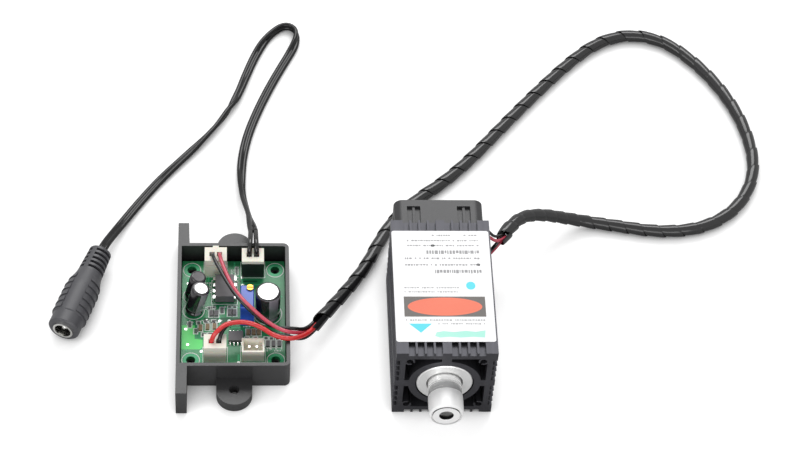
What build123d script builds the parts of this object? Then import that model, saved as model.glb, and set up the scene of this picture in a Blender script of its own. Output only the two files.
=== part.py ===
from build123d import *
import math
import os

# Laser diode module: a fan-cooled laser head in a square heatsink, its driver board in an open
# tray, the wrapped harness between them and a DC lead with a socket.
# Millimetres. The origin is the middle of the heatsink's base, the beam leaves along -Y, +Z is up.

# Shared values
overrun = 1.0
contact_gap = 0.02
slip_gap = 0.05
run_gap = 0.1

# Heatsink
sink_side = 33.0
sink_length = 55.0
sink_wall = 3.2
sink_ring_outer = 23.8
sink_web = 3.2
sink_edge_land = 4.0
sink_centre_land = 3.0
groove_width = 2.2
groove_depth = 1.4
grooves_per_half = 4
sink_front_bore = 19.2
sink_front_bore_depth = 2.0
port_pitch = 24.0
port_outer = 3.4
port_hole = 2.2
port_slot = 1.0
port_web = 1.6
wire_notch_width = 3.4
wire_notch_depth = 4.8

# Label on the heatsink
label_width = 32.5
label_length = 45.7
label_thickness = 0.15

# Sleeve and grub screw
sleeve_diameter = 18.5
sleeve_length = 30.0
sleeve_chamfer = 0.3
module_diameter = 12.0
grub_diameter = 2.5
grub_length = 5.0
grub_socket = 1.3
grub_socket_depth = 1.6

# Module body
body_recess = 3.5
body_length = 24.0
thread_diameter = 9.0
body_thread_depth = 16.0
body_shoulder = 2.5
can_passage = 4.0

# Laser diode and the ring behind it
diode_flange = 5.6
diode_flange_thickness = 1.2
can_diameter = 3.6
can_height = 2.3
diode_pin = 0.45
diode_pin_length = 6.0
diode_pin_circle = 2.0
clamp_ring_length = 3.0
clamp_ring_bore = 3.6

# Lens barrel, cap, lens and spring
neck_diameter = 11.0
neck_stand_off = 5.5
neck_length = 7.7
stem_length = 8.3
spigot_diameter = 9.4
spigot_length = 5.5
barrel_bore = 5.4
lens_diameter = 7.2
lens_edge = 1.6
lens_bulge = 0.7
lens_seat_depth = 4.2
lens_ring_length = 1.6
cap_diameter = 11.45
cap_length = 7.45
cap_edge = 1.3
cap_aperture = 4.7
spring_wire = 0.5
spring_diameter = 7.8
spring_turns = 4
spring_length = 6.4

# Fan
fan_side = 30.0
fan_depth = 10.0
fan_corner = 3.0
fan_duct = 28.0
fan_hole = 3.2
fan_pocket_near = 6.2
fan_pocket_far = 10.7
fan_pocket_length = 7.3
fan_pocket_depth = 1.1
fan_duct_wall = 0.3
fan_rib = 0.8
fan_rib_rise = 0.7
motor_plate_diameter = 17.0
motor_plate_thickness = 1.2
strut_count = 3
strut_width = 2.2
boss_diameter = 4.6
bearing_diameter = 3.4
bearing_length = 4.6
shaft_diameter = 1.5
shaft_length = 6.6
hub_diameter = 15.5
hub_length = 6.8
hub_wall = 0.8
hub_inset = 0.8
hub_edge = 0.6
blade_tip = 27.0
blade_count = 7
blade_chord = 7.6
blade_camber = 0.9
blade_thickness = 0.7
blade_pitch = 40
magnet_thickness = 1.1
magnet_length = 4.4
stator_diameter = 10.6
stator_thickness = 2.2
stator_poles = 4
stator_arm = 2.0
stator_core = 5.8
coil_thickness = 0.5
coil_length = 1.3
fan_board_diameter = 12.6
fan_board_thickness = 0.6
screw_shank = 2.1
screw_length = 14.0
screw_head = 4.4
screw_head_height = 1.3
screw_seat = 4.8
screw_slot = 0.6

# Driver tray
tray_x = -68.975
tray_y = 8.9
tray_width = 37.75
tray_length = 51.4
tray_height = 11.4
tray_wall = 1.25
tray_floor = 1.6
tray_corner = 2.0
rail_width = 3.65
rail_front = 11.1
rail_rear = 8.7
ear_x = -68.6
ear_width = 11.9
ear_thickness = 3.8
ear_hole = 3.4
ear_reach = 4.35
ear_recess = 0.5
ear_rim = 1.0
post_diameter = 5.2
post_pilot = 2.0

# Circuit board
board_side_gap = 0.225
board_end_gap = 1.7
board_thickness = 1.6
board_top = 5.0
board_hole = 3.1
board_hole_inset_x = 3.25
board_hole_inset_y = 3.85
lead_diameter = 0.6
lead_hole = 0.9
lead_tail = 2.8

# Two-pin headers and plugs
header_width = 7.5
header_depth = 5.8
header_wall = 0.6
header_floor = 1.4
header_height = 5.5
power_header_height = 6.9
pin_pitch = 2.5
pin_side = 0.64
pin_tail = 3.0
pin_rise = 3.2
plug_neck = 0.3
plug_channel = 1.8
contact_side = 1.6
contact_length = 4.0
fan_plug_shares = (-0.173, 0.424)
power_plug_shares = (0.189, 0.415)
laser_plug_shares = (-0.173, -0.3714)
spare_header_shares = (0.189, -0.365)
fan_plug_top = 13.5
power_plug_top = 13.6
laser_plug_top = 13.0
latch_width = 2.0
latch_reach = 0.7
latch_height = 2.4

# Electrolytic capacitors
big_cap = 8.4
big_cap_height = 12.5
big_cap_lead_pitch = 3.5
big_cap_shares = (0.3326, 0.009)
front_cap = 6.0
front_cap_height = 12.5
front_cap_shares = (-0.3843, 0.033)
rear_cap = 5.3
rear_cap_height = 11.0
rear_cap_share = -0.4
small_cap_lean = 12
cap_gap = 0.538
small_cap_lead_pitch = 2.5
cap_crimp = 0.35
cap_crimp_height = 1.4
cap_top_inset = 0.25
cap_top_edge = 0.5

# Driver chip with eight legs through the board
chip_width = 6.4
chip_length = 9.4
chip_height = 3.3
chip_stand = 0.7
chip_shares = (-0.084, 0.2066)
chip_leg_pitch = 2.54
chip_leg_width = 1.2
chip_leg_thickness = 0.3
chip_leg_span = 7.6
chip_leg_tail = 2.6
chip_notch = 1.6
legs_per_side = 4

# Small chip with eight surface legs
small_chip_width = 4.9
small_chip_depth = 3.9
small_chip_height = 1.45
small_chip_stand = 0.15
small_chip_share = 0.025
small_chip_gap = 0.7567
small_leg_pitch = 1.27
small_leg_width = 0.42
small_leg_reach = 1.1
small_leg_thickness = 0.2

# Trimmer
trimmer_width = 4.6
trimmer_length = 9.5
trimmer_height = 10.0
trimmer_share = 0.133
trimmer_gap = 2.301
trimmer_lead_pitch = 2.54
trimmer_screw = 2.3
trimmer_screw_height = 1.5
trimmer_screw_proud = 0.6
trimmer_screw_right = 0.95
trimmer_screw_rear = 3.4
trimmer_slot = 0.5
trimmer_edge = 0.3

# Chip resistors and capacitors on the board
chip_part_width = 1.25
chip_part_length = 2.2
chip_part_height = 0.6
resistor_shares = ((-0.2134, 0.0066), (-0.1645, 0.0066), (-0.035, 0.015), (0.011, 0.015),
                   (0.3326, -0.2703), (0.387, -0.2703), (0.442, -0.2703))
chip_capacitor_shares = ((-0.317, -0.125), (-0.248, -0.1165), (-0.182, -0.112), (0.143, -0.165),
                         (0.195, -0.165), (0.246, -0.165))

# DC socket on the end of the lead
socket_x = -125.72
socket_y = 2.07
socket_z = 5.75
socket_turn = -19
socket_nose = 10.8
socket_nose_length = 4.6
socket_edge = 0.5
socket_body_diameter = 11.4
socket_body_end = 17.3
socket_shoulder = 23.9
relief_start_diameter = 8.8
relief_end_diameter = 7.8
relief_length = 10.5
relief_rings = 6
relief_slot = 1.05
relief_core = 5.4
relief_spine = 1.6
relief_spine_turn = -20
grip_start = 5.4
grip_pitch = 2.75
grip_rise = 0.38
grip_count = 6
grip_gap = 5.6
shell_outer = 7.0
shell_inner = 5.6
shell_length = 9.5
shell_proud = 0.6
insulator_thickness = 1.2
socket_pin = 2.0
socket_pin_inset = 0.6

# Cords
wrap_diameter = 4.5
wrap_mouth = 4.0
wrap_mouth_depth = 3.0
laser_red_diameter = 1.35
laser_black_diameter = 1.3
fan_red_diameter = 1.1
fan_black_diameter = 1.0
lead_wire_diameter = 1.7
dc_lead_width = 3.4
dc_lead_thickness = 1.7
bend_share = 0.45

# Places along the head's axis, worked out from the sizes above
axis_z = sink_side / 2
front_y = -sink_length / 2
rear_y = sink_length / 2
grub_y = front_y + sleeve_length / 2
body_front = front_y + body_recess
body_rear = body_front + body_length
thread_end = body_front + body_thread_depth
shoulder_end = thread_end + body_shoulder
clamp_end = shoulder_end + clamp_ring_length
neck_front = front_y - neck_stand_off
neck_rear = neck_front + neck_length
stem_end = neck_rear + stem_length
spigot_front = neck_front - spigot_length
seat_start = stem_end - lens_seat_depth
cap_front = neck_front - cap_length
fan_front = rear_y
fan_rear = fan_front + fan_depth
plate_front = fan_rear - motor_plate_thickness
hub_front = fan_front + hub_inset
hub_rear = hub_front + hub_length
magnet_middle = hub_rear - magnet_length / 2
corner_angles = (45, 135, 225, 315)
side_angles = (0, 90, 180, 270)


def block(width, depth, height, x=0, y=0, z=0):
    """A box centred on x and y that stands on z."""
    return Pos(x, y, z + height / 2) * Box(width, depth, height)


def post(diameter, height, x=0, y=0, z=0):
    """An upright cylinder that stands on z."""
    return Pos(x, y, z + height / 2) * Cylinder(diameter / 2, height)


def rod(diameter, start, end, x=0, z=axis_z):
    """A cylinder along Y from start to end."""
    return Pos(x, (start + end) / 2, z) * Rot(90, 0, 0) * Cylinder(diameter / 2, end - start)


def tube(outer, inner, start, end):
    """A tube about the head's axis from start to end."""
    return rod(outer, start, end) - rod(inner, start - overrun, end + overrun)


def along_y(section, start, end):
    """A section drawn on X and Z about the head's axis, carried along Y from start to end."""
    return Pos(0, end, axis_z) * Rot(90, 0, 0) * extrude(section, end - start)


def turned(*points):
    """A solid turned about the head's axis from its corners, each a radius and a y."""
    profile = make_face(Polyline(*points, close=True))
    return Pos(0, 0, axis_z) * revolve(profile, Axis.Y)


def together(shapes):
    """Joins shapes: those that meet fuse, and those apart stay solids of their own."""
    return Part() + list(shapes)


def save(shape, node):
    export_step(shape, f"parts/{node}.step")


def polar(radius, angle):
    """The x and z of a place about the head's axis, from the axis."""
    turn = math.radians(angle)
    return radius * math.cos(turn), radius * math.sin(turn)


# Laser head
def groove_section():
    """The grooves in all four sides of the heatsink."""
    half = sink_side / 2
    lands = sink_edge_land + sink_centre_land / 2
    fin = (half - lands - grooves_per_half * groove_width) / (grooves_per_half - 1)
    groove = Rectangle(groove_width, groove_depth + overrun)
    height = half - groove_depth / 2 + overrun / 2
    cuts = []
    for index in range(grooves_per_half):
        offset = sink_centre_land / 2 + groove_width / 2 + index * (groove_width + fin)
        for angle in side_angles:
            cuts.append(Rot(0, 0, angle) * Pos(offset, height) * groove)
            cuts.append(Rot(0, 0, angle) * Pos(-offset, height) * groove)
    return Sketch() + cuts


def channel_section():
    """The four open corners between the heatsink's wall, webs and ring, less the screw ports on their webs."""
    inner = sink_side - 2 * sink_wall
    section = Rectangle(inner, inner) - Circle(sink_ring_outer / 2)
    section -= [Rectangle(sink_web, inner), Rectangle(inner, sink_web)]
    ports = []
    for angle in corner_angles:
        reach = port_pitch / math.sqrt(2)
        ports.append(Pos(*polar(reach, angle)) * Circle(port_outer / 2))
        web = Rectangle(sink_side / 2, port_web)
        ports.append(Pos(*polar(reach + sink_side / 4, angle)) * Rot(0, 0, angle) * web)
    return section - ports


def port_cuts():
    """The hole and the slit of each C-shaped screw port."""
    cuts = []
    for angle in corner_angles:
        place = Pos(*polar(port_pitch / math.sqrt(2), angle))
        cuts.append(place * Circle(port_hole / 2))
        cuts.append(place * Rot(0, 0, angle) * Pos(-port_outer / 2, 0) * Rectangle(port_outer, port_slot))
    return cuts


def heatsink():
    """One extrusion with side grooves, a ring on four webs, and screw ports in its corners."""
    section = Rectangle(sink_side, sink_side) - groove_section() - channel_section()
    section = section - port_cuts() - Circle(sleeve_diameter / 2 + contact_gap)
    solid = along_y(section, front_y, rear_y)
    solid -= rod(sink_front_bore, front_y - overrun, front_y + sink_front_bore_depth)
    solid -= post(grub_diameter + 2 * contact_gap, axis_z, 0, grub_y, -overrun)
    notch = Box(sink_ring_outer / 2, wire_notch_depth + overrun, wire_notch_width)
    notch_y = rear_y - wire_notch_depth / 2 + overrun / 2
    return solid - Pos(0, notch_y, axis_z) * Rot(0, 45, 0) * Pos(sink_ring_outer / 4, 0, 0) * notch


def head_label():
    return block(label_width, label_length, label_thickness, (label_width - sink_side) / 2, 0, sink_side)


def adapter_sleeve():
    """The turned sleeve that fills the heatsink's bore and holds the module body."""
    inner = module_diameter / 2 + contact_gap
    outer = sleeve_diameter / 2
    rear = front_y + sleeve_length
    return turned((inner, front_y), (outer - sleeve_chamfer, front_y), (outer, front_y + sleeve_chamfer),
                  (outer, rear), (inner, rear))


def grub_screw():
    """The set screw under the heatsink that holds the sleeve."""
    top = axis_z - sleeve_diameter / 2
    bottom = top - grub_length
    socket = RegularPolygon(grub_socket / 2, 6)
    return post(grub_diameter, grub_length, 0, grub_y, bottom) - Pos(0, grub_y, bottom) * extrude(
        socket, grub_socket_depth)


def module_body():
    """The threaded tube that holds the lens barrel in front and the diode behind."""
    outer = module_diameter / 2
    thread = thread_diameter / 2 + run_gap
    clamp = thread_diameter / 2
    pocket = diode_flange / 2 + contact_gap
    passage = can_passage / 2
    seat = shoulder_end - diode_flange_thickness
    return turned((outer, body_front), (outer, body_rear), (clamp, body_rear), (clamp, shoulder_end),
                  (pocket, shoulder_end), (pocket, seat), (passage, seat), (passage, thread_end),
                  (thread, thread_end), (thread, body_front))


def diode_can():
    """The laser diode: flange, cap and three pins."""
    seat = shoulder_end - diode_flange_thickness
    pieces = [rod(diode_flange, seat, shoulder_end), rod(can_diameter, seat - can_height, seat)]
    for angle in (0, 180, 270):
        x, z = polar(diode_pin_circle / 2, angle)
        pieces.append(rod(diode_pin, shoulder_end, shoulder_end + diode_pin_length, x, axis_z + z))
    return together(pieces)


def diode_ring():
    return tube(thread_diameter - 2 * contact_gap, clamp_ring_bore, shoulder_end, clamp_end)


def lens_barrel():
    """The threaded stem and neck that carry the lens, with a spigot inside the focus cap."""
    bore = barrel_bore / 2
    spigot = spigot_diameter / 2
    neck = neck_diameter / 2
    stem = thread_diameter / 2
    seat = lens_diameter / 2 + slip_gap
    return turned((bore, spigot_front), (spigot, spigot_front), (spigot, neck_front), (neck, neck_front),
                  (neck, neck_rear), (stem, neck_rear), (stem, stem_end), (seat, stem_end),
                  (seat, seat_start), (bore, seat_start))


def focus_cap():
    """The cap that is turned by hand, with a rounded front edge and the beam's aperture."""
    outer = cap_diameter / 2
    bore = spigot_diameter / 2 + contact_gap
    hole = cap_aperture / 2
    floor = spigot_front - contact_gap
    solid = turned((bore, neck_front), (outer, neck_front), (outer, cap_front), (hole, cap_front),
                   (hole, floor), (bore, floor))
    rim = solid.edges().group_by(Axis.Y)[0].sort_by(SortBy.RADIUS)[-1]
    return fillet(rim, cap_edge)


def lens():
    """A glass lens with a flat rim and a curved middle on both faces."""
    optic = barrel_bore / 2 - slip_gap
    front = seat_start + slip_gap
    rear = front + lens_edge
    radius = (optic ** 2 + lens_bulge ** 2) / (2 * lens_bulge)
    middle = rod(2 * optic, front - lens_bulge, rear + lens_bulge)
    middle &= Pos(0, front - lens_bulge + radius, axis_z) * Sphere(radius)
    middle &= Pos(0, rear + lens_bulge - radius, axis_z) * Sphere(radius)
    return rod(lens_diameter, front, rear) + middle


def lens_ring():
    start = seat_start + slip_gap + lens_edge + contact_gap
    return tube(lens_diameter, barrel_bore + 2 * slip_gap, start, start + lens_ring_length)


def focus_spring():
    """The wire spring round the diode, behind the lens barrel."""
    pitch = (spring_length - spring_wire) / spring_turns
    coil = Helix(pitch, spring_length - spring_wire, (spring_diameter - spring_wire) / 2)
    section = Plane(coil @ 0, z_dir=coil % 0) * Circle(spring_wire / 2)
    return Pos(0, thread_end - spring_wire / 2 - contact_gap, axis_z) * Rot(90, 0, 0) * sweep(
        section, path=coil, is_frenet=True)


# Fan
def pocket_section():
    """The side pockets of the fan frame: down to the duct's wall where wires leave, else shallow and ribbed."""
    width = fan_pocket_far - fan_pocket_near
    middle = (fan_pocket_near + fan_pocket_far) / 2
    pocket = Rectangle(width, fan_side / 2)
    rib = Pos(0, -fan_pocket_depth) * Rectangle(fan_rib, 2 * fan_rib_rise)
    ribbed = Rectangle(width, 2 * fan_pocket_depth) - rib
    cuts = []
    for angle in side_angles:
        for side in (-middle, middle):
            cuts.append(Rot(0, 0, angle) * Pos(side, fan_side / 2) * (ribbed if angle < 270 else pocket))
    return Sketch() + cuts - Circle(fan_duct / 2 + fan_duct_wall)


def screw_places():
    return [(x, axis_z + z) for x, z in (polar(port_pitch / math.sqrt(2), angle) for angle in corner_angles)]


def fan_frame():
    """The moulded frame: duct, side pockets, motor plate on struts, and the bearing's boss."""
    section = RectangleRounded(fan_side, fan_side, fan_corner) - Circle(fan_duct / 2)
    section -= [Pos(*polar(port_pitch / math.sqrt(2), angle)) * Circle(fan_hole / 2) for angle in corner_angles]
    solid = along_y(section, fan_front, fan_rear)
    solid -= along_y(pocket_section(), fan_front - overrun, fan_front + fan_pocket_length)
    for x, z in screw_places():
        solid -= rod(screw_seat, fan_rear - screw_head_height, fan_rear + overrun, x, z)
    plate = Circle(motor_plate_diameter / 2)
    reach = (fan_duct + fan_duct_wall) / 2
    for index in range(strut_count):
        plate += Rot(0, 0, index * 360 / strut_count + 90) * Pos(reach / 2, 0) * Rectangle(reach, strut_width)
    solid += along_y(plate, plate_front, fan_rear)
    boss_start = plate_front - bearing_length
    solid += rod(boss_diameter, boss_start, plate_front)
    return solid - rod(bearing_diameter + 2 * contact_gap, boss_start - overrun, plate_front)


def fan_bearing():
    return tube(bearing_diameter, shaft_diameter + 2 * slip_gap, plate_front - bearing_length, plate_front)


def fan_shaft():
    start = hub_front + hub_wall
    return rod(shaft_diameter, start, start + shaft_length)


def fan_blade(angle):
    """One cambered blade from inside the hub's wall to the tip circle."""
    half = blade_chord / 2
    arc = ThreePointArc((-half, 0), (0, blade_camber), (half, 0))
    pitch = math.radians(blade_pitch)
    root = hub_diameter / 2 - hub_wall / 2
    middle = (hub_front + hub_rear) / 2
    seat = Plane((root, middle, 0), x_dir=(0, math.sin(pitch), math.cos(pitch)), z_dir=(1, 0, 0))
    slab = extrude(seat * SlotArc(arc, blade_thickness), blade_tip / 2)
    return Pos(0, 0, axis_z) * Rot(0, angle, 0) * slab & rod(blade_tip, fan_front, fan_rear)


def fan_rotor():
    """The hub cup with its blades, open toward the motor plate."""
    outer = hub_diameter / 2
    inner = outer - hub_wall
    shaft = shaft_diameter / 2 + contact_gap
    boss = shaft + hub_wall
    floor = hub_front + hub_wall
    solid = turned((0, hub_front), (outer - hub_edge, hub_front), (outer, hub_front + hub_edge),
                   (outer, hub_rear), (inner, hub_rear), (inner, floor), (boss, floor),
                   (boss, floor + hub_wall), (shaft, floor + hub_wall), (shaft, floor), (0, floor))
    return solid + [fan_blade(index * 360 / blade_count) for index in range(blade_count)]


def fan_magnet():
    outer = hub_diameter - 2 * hub_wall - 2 * contact_gap
    return tube(outer, outer - 2 * magnet_thickness, hub_rear - magnet_length, hub_rear)


def pole_angles():
    return [index * 360 / stator_poles for index in range(stator_poles)]


def fan_stator():
    """The laminated core with its arms and pole shoes, on the bearing's boss."""
    outer = stator_diameter / 2
    shoe = outer - stator_arm / 2
    section = Circle(stator_core / 2)
    for angle in pole_angles():
        section += Rot(0, 0, angle) * Pos(outer / 2, 0) * Rectangle(outer, stator_arm)
        section += Rot(0, 0, angle) * Pos(outer, 0) * Rectangle(stator_arm, 2 * stator_arm)
    section = (section & Circle(outer)) - Circle(boss_diameter / 2 + contact_gap)
    return along_y(section, magnet_middle - stator_thickness / 2, magnet_middle + stator_thickness / 2)


def fan_coils():
    """One coil round each arm of the stator."""
    width = stator_arm + 2 * coil_thickness
    height = stator_thickness + 2 * coil_thickness
    start = stator_core / 2 + slip_gap
    coil = Box(coil_length, height, width)
    coil -= Box(coil_length + overrun, stator_thickness + 2 * contact_gap, stator_arm + 2 * contact_gap)
    place = Pos(start + coil_length / 2, magnet_middle, 0)
    return together(Pos(0, 0, axis_z) * Rot(0, angle, 0) * place * coil for angle in pole_angles())


def fan_board():
    start = plate_front - fan_board_thickness
    return tube(fan_board_diameter, boss_diameter + 2 * contact_gap, start, plate_front)


def fan_screws():
    """The four screws that hold the fan to the heatsink's ports, their heads sunk in the frame."""
    screws = []
    for x, z in screw_places():
        screw = rod(screw_shank, fan_rear - screw_length, fan_rear, x, z)
        screw += rod(screw_head, fan_rear - screw_head_height, fan_rear, x, z)
        for turn in (0, 90):
            slot = Box(screw_head / 2, screw_head_height, screw_slot)
            screw -= Pos(x, fan_rear, z) * Rot(0, turn, 0) * slot
        screws.append(screw)
    return together(screws)


# Driver tray and board
board_width = tray_width - 2 * (tray_wall + board_side_gap)
board_length = tray_length - 2 * (tray_wall + board_end_gap)
tray_left = tray_x - tray_width / 2
tray_front = tray_y - tray_length / 2
tray_rear = tray_y + tray_length / 2
rail_x = tray_left + rail_width / 2
ear_front_y = tray_front - ear_reach
ear_rear_y = tray_rear + ear_reach
board_bottom = board_top - board_thickness


def board_corners():
    """The places of the board's four screw holes."""
    x = board_width / 2 - board_hole_inset_x
    y = board_length / 2 - board_hole_inset_y
    return [(tray_x + side * x, tray_y + end * y) for side in (-1, 1) for end in (-1, 1)]


def ear(hole_y, wall_y):
    """A mounting ear with a round end, from the tray's wall."""
    middle = (hole_y + wall_y) / 2
    solid = block(ear_width, abs(hole_y - wall_y), ear_thickness, ear_x, middle)
    return solid + post(ear_width, ear_thickness, ear_x, hole_y)


def driver_tray():
    """The open moulded tray with its side rail, two ears and the posts under the board."""
    outer = block(tray_width, tray_length, tray_height, tray_x, tray_y)
    right_edges = outer.edges().filter_by(Axis.Z).group_by(Axis.X)[-1]
    solid = fillet(right_edges, tray_corner)
    solid += block(rail_width, rail_front, tray_height, rail_x, tray_front - rail_front / 2)
    solid += block(rail_width, rail_rear, tray_height, rail_x, tray_rear + rail_rear / 2)
    solid += [ear(ear_front_y, tray_front + ear_recess), ear(ear_rear_y, tray_rear - ear_recess)]
    inside = block(tray_width - 2 * tray_wall, tray_length - 2 * tray_wall, tray_height, tray_x, tray_y, tray_floor)
    inner_edges = inside.edges().filter_by(Axis.Z).group_by(Axis.X)[-1]
    solid -= fillet(inner_edges, tray_corner - tray_wall)
    recess_height = tray_height - ear_rim - ear_thickness
    for wall_y in (tray_front, tray_rear):
        solid -= block(ear_width, 2 * ear_recess, recess_height, ear_x, wall_y, ear_thickness)
    for y in (ear_front_y, ear_rear_y):
        solid -= post(ear_hole, ear_thickness + 2 * overrun, ear_x, y, -overrun)
    post_height = board_bottom - tray_floor + contact_gap
    for x, y in board_corners():
        solid += post(post_diameter, post_height, x, y, tray_floor - contact_gap)
        solid -= post(post_pilot, post_height, x, y, tray_floor)
    return solid


def on_board(shares):
    """The x and y of a place on the board, from shares of its width and length."""
    return tray_x + shares[0] * board_width, tray_y + shares[1] * board_length


def rear_cap_place():
    """Behind the front capacitor, with a gap between their cans."""
    front = on_board(front_cap_shares)[1]
    return tray_x + rear_cap_share * board_width, front + (front_cap + rear_cap) / 2 + cap_gap


def small_chip_place():
    """Behind the spare header, with a gap to its front legs."""
    header_rear = on_board(spare_header_shares)[1] + header_depth / 2
    return (tray_x + small_chip_share * board_width,
            header_rear + small_chip_gap + small_leg_reach + small_chip_depth / 2)


def trimmer_place():
    """Behind the small chip, with a gap to its rear legs."""
    legs_rear = small_chip_place()[1] + small_chip_depth / 2 + small_leg_reach
    return tray_x + trimmer_share * board_width, legs_rear + trimmer_gap + trimmer_length / 2


def side_pair(place, pitch):
    """Two places side by side about a place."""
    x, y = place
    return [(x - pitch / 2, y), (x + pitch / 2, y)]


def trimmer_leads():
    x, y = trimmer_place()
    return [(x, y + step * trimmer_lead_pitch) for step in (-1, 0, 1)]


def pin_places():
    """The pins of the four headers."""
    headers = (fan_plug_shares, power_plug_shares, laser_plug_shares, spare_header_shares)
    return [place for shares in headers for place in side_pair(on_board(shares), pin_pitch)]


def chip_leg_places():
    x, y = on_board(chip_shares)
    start = y - chip_leg_pitch * (legs_per_side - 1) / 2
    sides = (x - chip_leg_span / 2, x + chip_leg_span / 2)
    return [(side, start + index * chip_leg_pitch) for side in sides for index in range(legs_per_side)]


def lead_places():
    """The leads of the capacitors and the trimmer."""
    small = small_cap_lead_pitch
    pairs = side_pair(on_board(big_cap_shares), big_cap_lead_pitch)
    pairs += side_pair(on_board(front_cap_shares), small) + side_pair(rear_cap_place(), small)
    return pairs + trimmer_leads()


def circuit_board():
    """The board with its screw holes and the holes of every pin, leg and lead."""
    solid = block(board_width, board_length, board_thickness, tray_x, tray_y, board_bottom)
    depth = board_thickness + 2 * overrun
    base = board_bottom - overrun
    holes = [post(board_hole, depth, x, y, base) for x, y in board_corners()]
    for x, y in pin_places() + chip_leg_places() + lead_places():
        holes.append(post(lead_hole + 2 * slip_gap, depth, x, y, base))
    return solid - holes


def header(shares, height):
    """An open two-pin header with holes for its pins."""
    x, y = on_board(shares)
    solid = block(header_width, header_depth, height, x, y, board_top)
    cavity = block(header_width - 2 * header_wall, header_depth - 2 * header_wall, height, x, y,
                   board_top + header_floor)
    hole = pin_side + 2 * contact_gap
    holes = [block(hole, hole, height, px, py, board_top - overrun)
             for px, py in side_pair(on_board(shares), pin_pitch)]
    return solid - cavity - holes


def header_pins():
    height = pin_tail + header_floor + pin_rise
    return together(block(pin_side, pin_side, height, x, y, board_top - pin_tail) for x, y in pin_places())


def plug(shares, top, header_top):
    """A two-wire plug seated in its header, with a square channel for each contact and wire."""
    x, y = on_board(shares)
    base = board_top + header_floor + slip_gap
    shoulder = header_top + plug_neck
    narrow = 2 * header_wall + 2 * slip_gap
    solid = block(header_width - narrow, header_depth - narrow, shoulder - base, x, y, base)
    solid += block(header_width, header_depth, top - shoulder, x, y, shoulder)
    channels = [block(plug_channel, plug_channel, top, px, py, base - overrun)
                for px, py in side_pair(on_board(shares), pin_pitch)]
    return solid - channels


def fan_plug():
    """The fan's plug, with a latch nub on its rear."""
    x, y = on_board(fan_plug_shares)
    solid = plug(fan_plug_shares, fan_plug_top, board_top + header_height)
    nub = block(latch_width, latch_reach, latch_height, x, y + (header_depth + latch_reach) / 2,
                fan_plug_top - latch_height)
    return solid + nub


def plug_contacts():
    """The crimped contacts in the plugs, round the header's pins."""
    base = board_top + header_floor + slip_gap
    hole = pin_side + 2 * slip_gap
    contacts = []
    for shares in (fan_plug_shares, power_plug_shares, laser_plug_shares):
        for x, y in side_pair(on_board(shares), pin_pitch):
            contact = block(contact_side, contact_side, contact_length, x, y, base)
            contacts.append(contact - block(hole, hole, contact_length + overrun, x, y, base - overrun / 2))
    return together(contacts)


def lead_pins(places):
    return [post(lead_diameter, lead_tail, x, y, board_top - lead_tail) for x, y in places]


def electrolytic(diameter, height, place, lead_pitch, lean=0):
    """A can with a crimp near its foot, an inset top and two leads; it may lean over toward +X."""
    solid = fillet(post(diameter, height).edges().group_by(Axis.Z)[-1], cap_top_edge)
    crimp = post(diameter + overrun, 2 * cap_crimp, z=cap_crimp_height)
    solid -= crimp - post(diameter - 2 * cap_crimp, 2 * cap_crimp, z=cap_crimp_height)
    solid -= post(diameter - 4 * cap_top_edge, cap_top_inset + overrun, z=height - cap_top_inset)
    lift = diameter / 2 * math.sin(math.radians(lean))
    solid = Pos(*place, board_top + lift) * Rot(0, lean, 0) * solid
    for x, y in side_pair(place, lead_pitch):
        solid += post(lead_diameter, lead_tail + 2 * lift, x, y, board_top - lead_tail)
    return solid


def driver_chip():
    """The eight-pin chip's moulded body, with the notch at its rear end."""
    x, y = on_board(chip_shares)
    solid = block(chip_width, chip_length, chip_height, x, y, board_top + chip_stand)
    top = board_top + chip_stand + chip_height
    return solid - post(chip_notch, 2 * chip_stand, x, y + chip_length / 2, top - chip_stand)


def driver_chip_legs():
    """The eight bent legs, each through its hole in the board."""
    x, y = on_board(chip_shares)
    shoulder = board_top + chip_stand + chip_height / 2
    reach = (chip_leg_span + chip_leg_thickness - chip_width) / 2
    legs = []
    for px, py in chip_leg_places():
        side = math.copysign(1, px - x)
        leg = block(reach, chip_leg_width, chip_leg_thickness, x + side * (chip_width + reach) / 2, py, shoulder)
        leg += block(chip_leg_thickness, chip_leg_width, shoulder - board_top, px, py, board_top)
        leg += block(chip_leg_thickness, lead_diameter, chip_leg_tail, px, py, board_top - chip_leg_tail)
        legs.append(leg)
    return together(legs)


def small_chip():
    x, y = small_chip_place()
    return block(small_chip_width, small_chip_depth, small_chip_height, x, y, board_top + small_chip_stand)


def small_chip_legs():
    """The eight flat feet along the small chip's front and rear."""
    x, y = small_chip_place()
    start = x - small_leg_pitch * (legs_per_side - 1) / 2
    rise = small_chip_stand + small_chip_height / 2
    legs = []
    for side in (-1, 1):
        edge = y + side * small_chip_depth / 2
        for index in range(legs_per_side):
            px = start + index * small_leg_pitch
            middle = edge + side * small_leg_reach / 2
            leg = block(small_leg_width, small_leg_reach / 2, small_leg_thickness, px,
                        edge + side * small_leg_reach / 4, board_top + rise - small_leg_thickness)
            leg += block(small_leg_width, small_leg_thickness, rise, px, middle, board_top)
            leg += block(small_leg_width, small_leg_reach / 2, small_leg_thickness, px,
                         edge + side * small_leg_reach * 3 / 4, board_top)
            legs.append(leg)
    return together(legs)


def trimmer_body():
    """The trimmer's box with the well of its screw."""
    x, y = trimmer_place()
    solid = block(trimmer_width, trimmer_length, trimmer_height, x, y, board_top)
    solid = chamfer(solid.edges().group_by(Axis.Z)[-1], trimmer_edge)
    depth = trimmer_screw_height - trimmer_screw_proud
    well = post(trimmer_screw + 2 * slip_gap, depth + overrun, x + trimmer_screw_right,
                y + trimmer_screw_rear, board_top + trimmer_height - depth)
    return solid - well + lead_pins(trimmer_leads())


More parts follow.
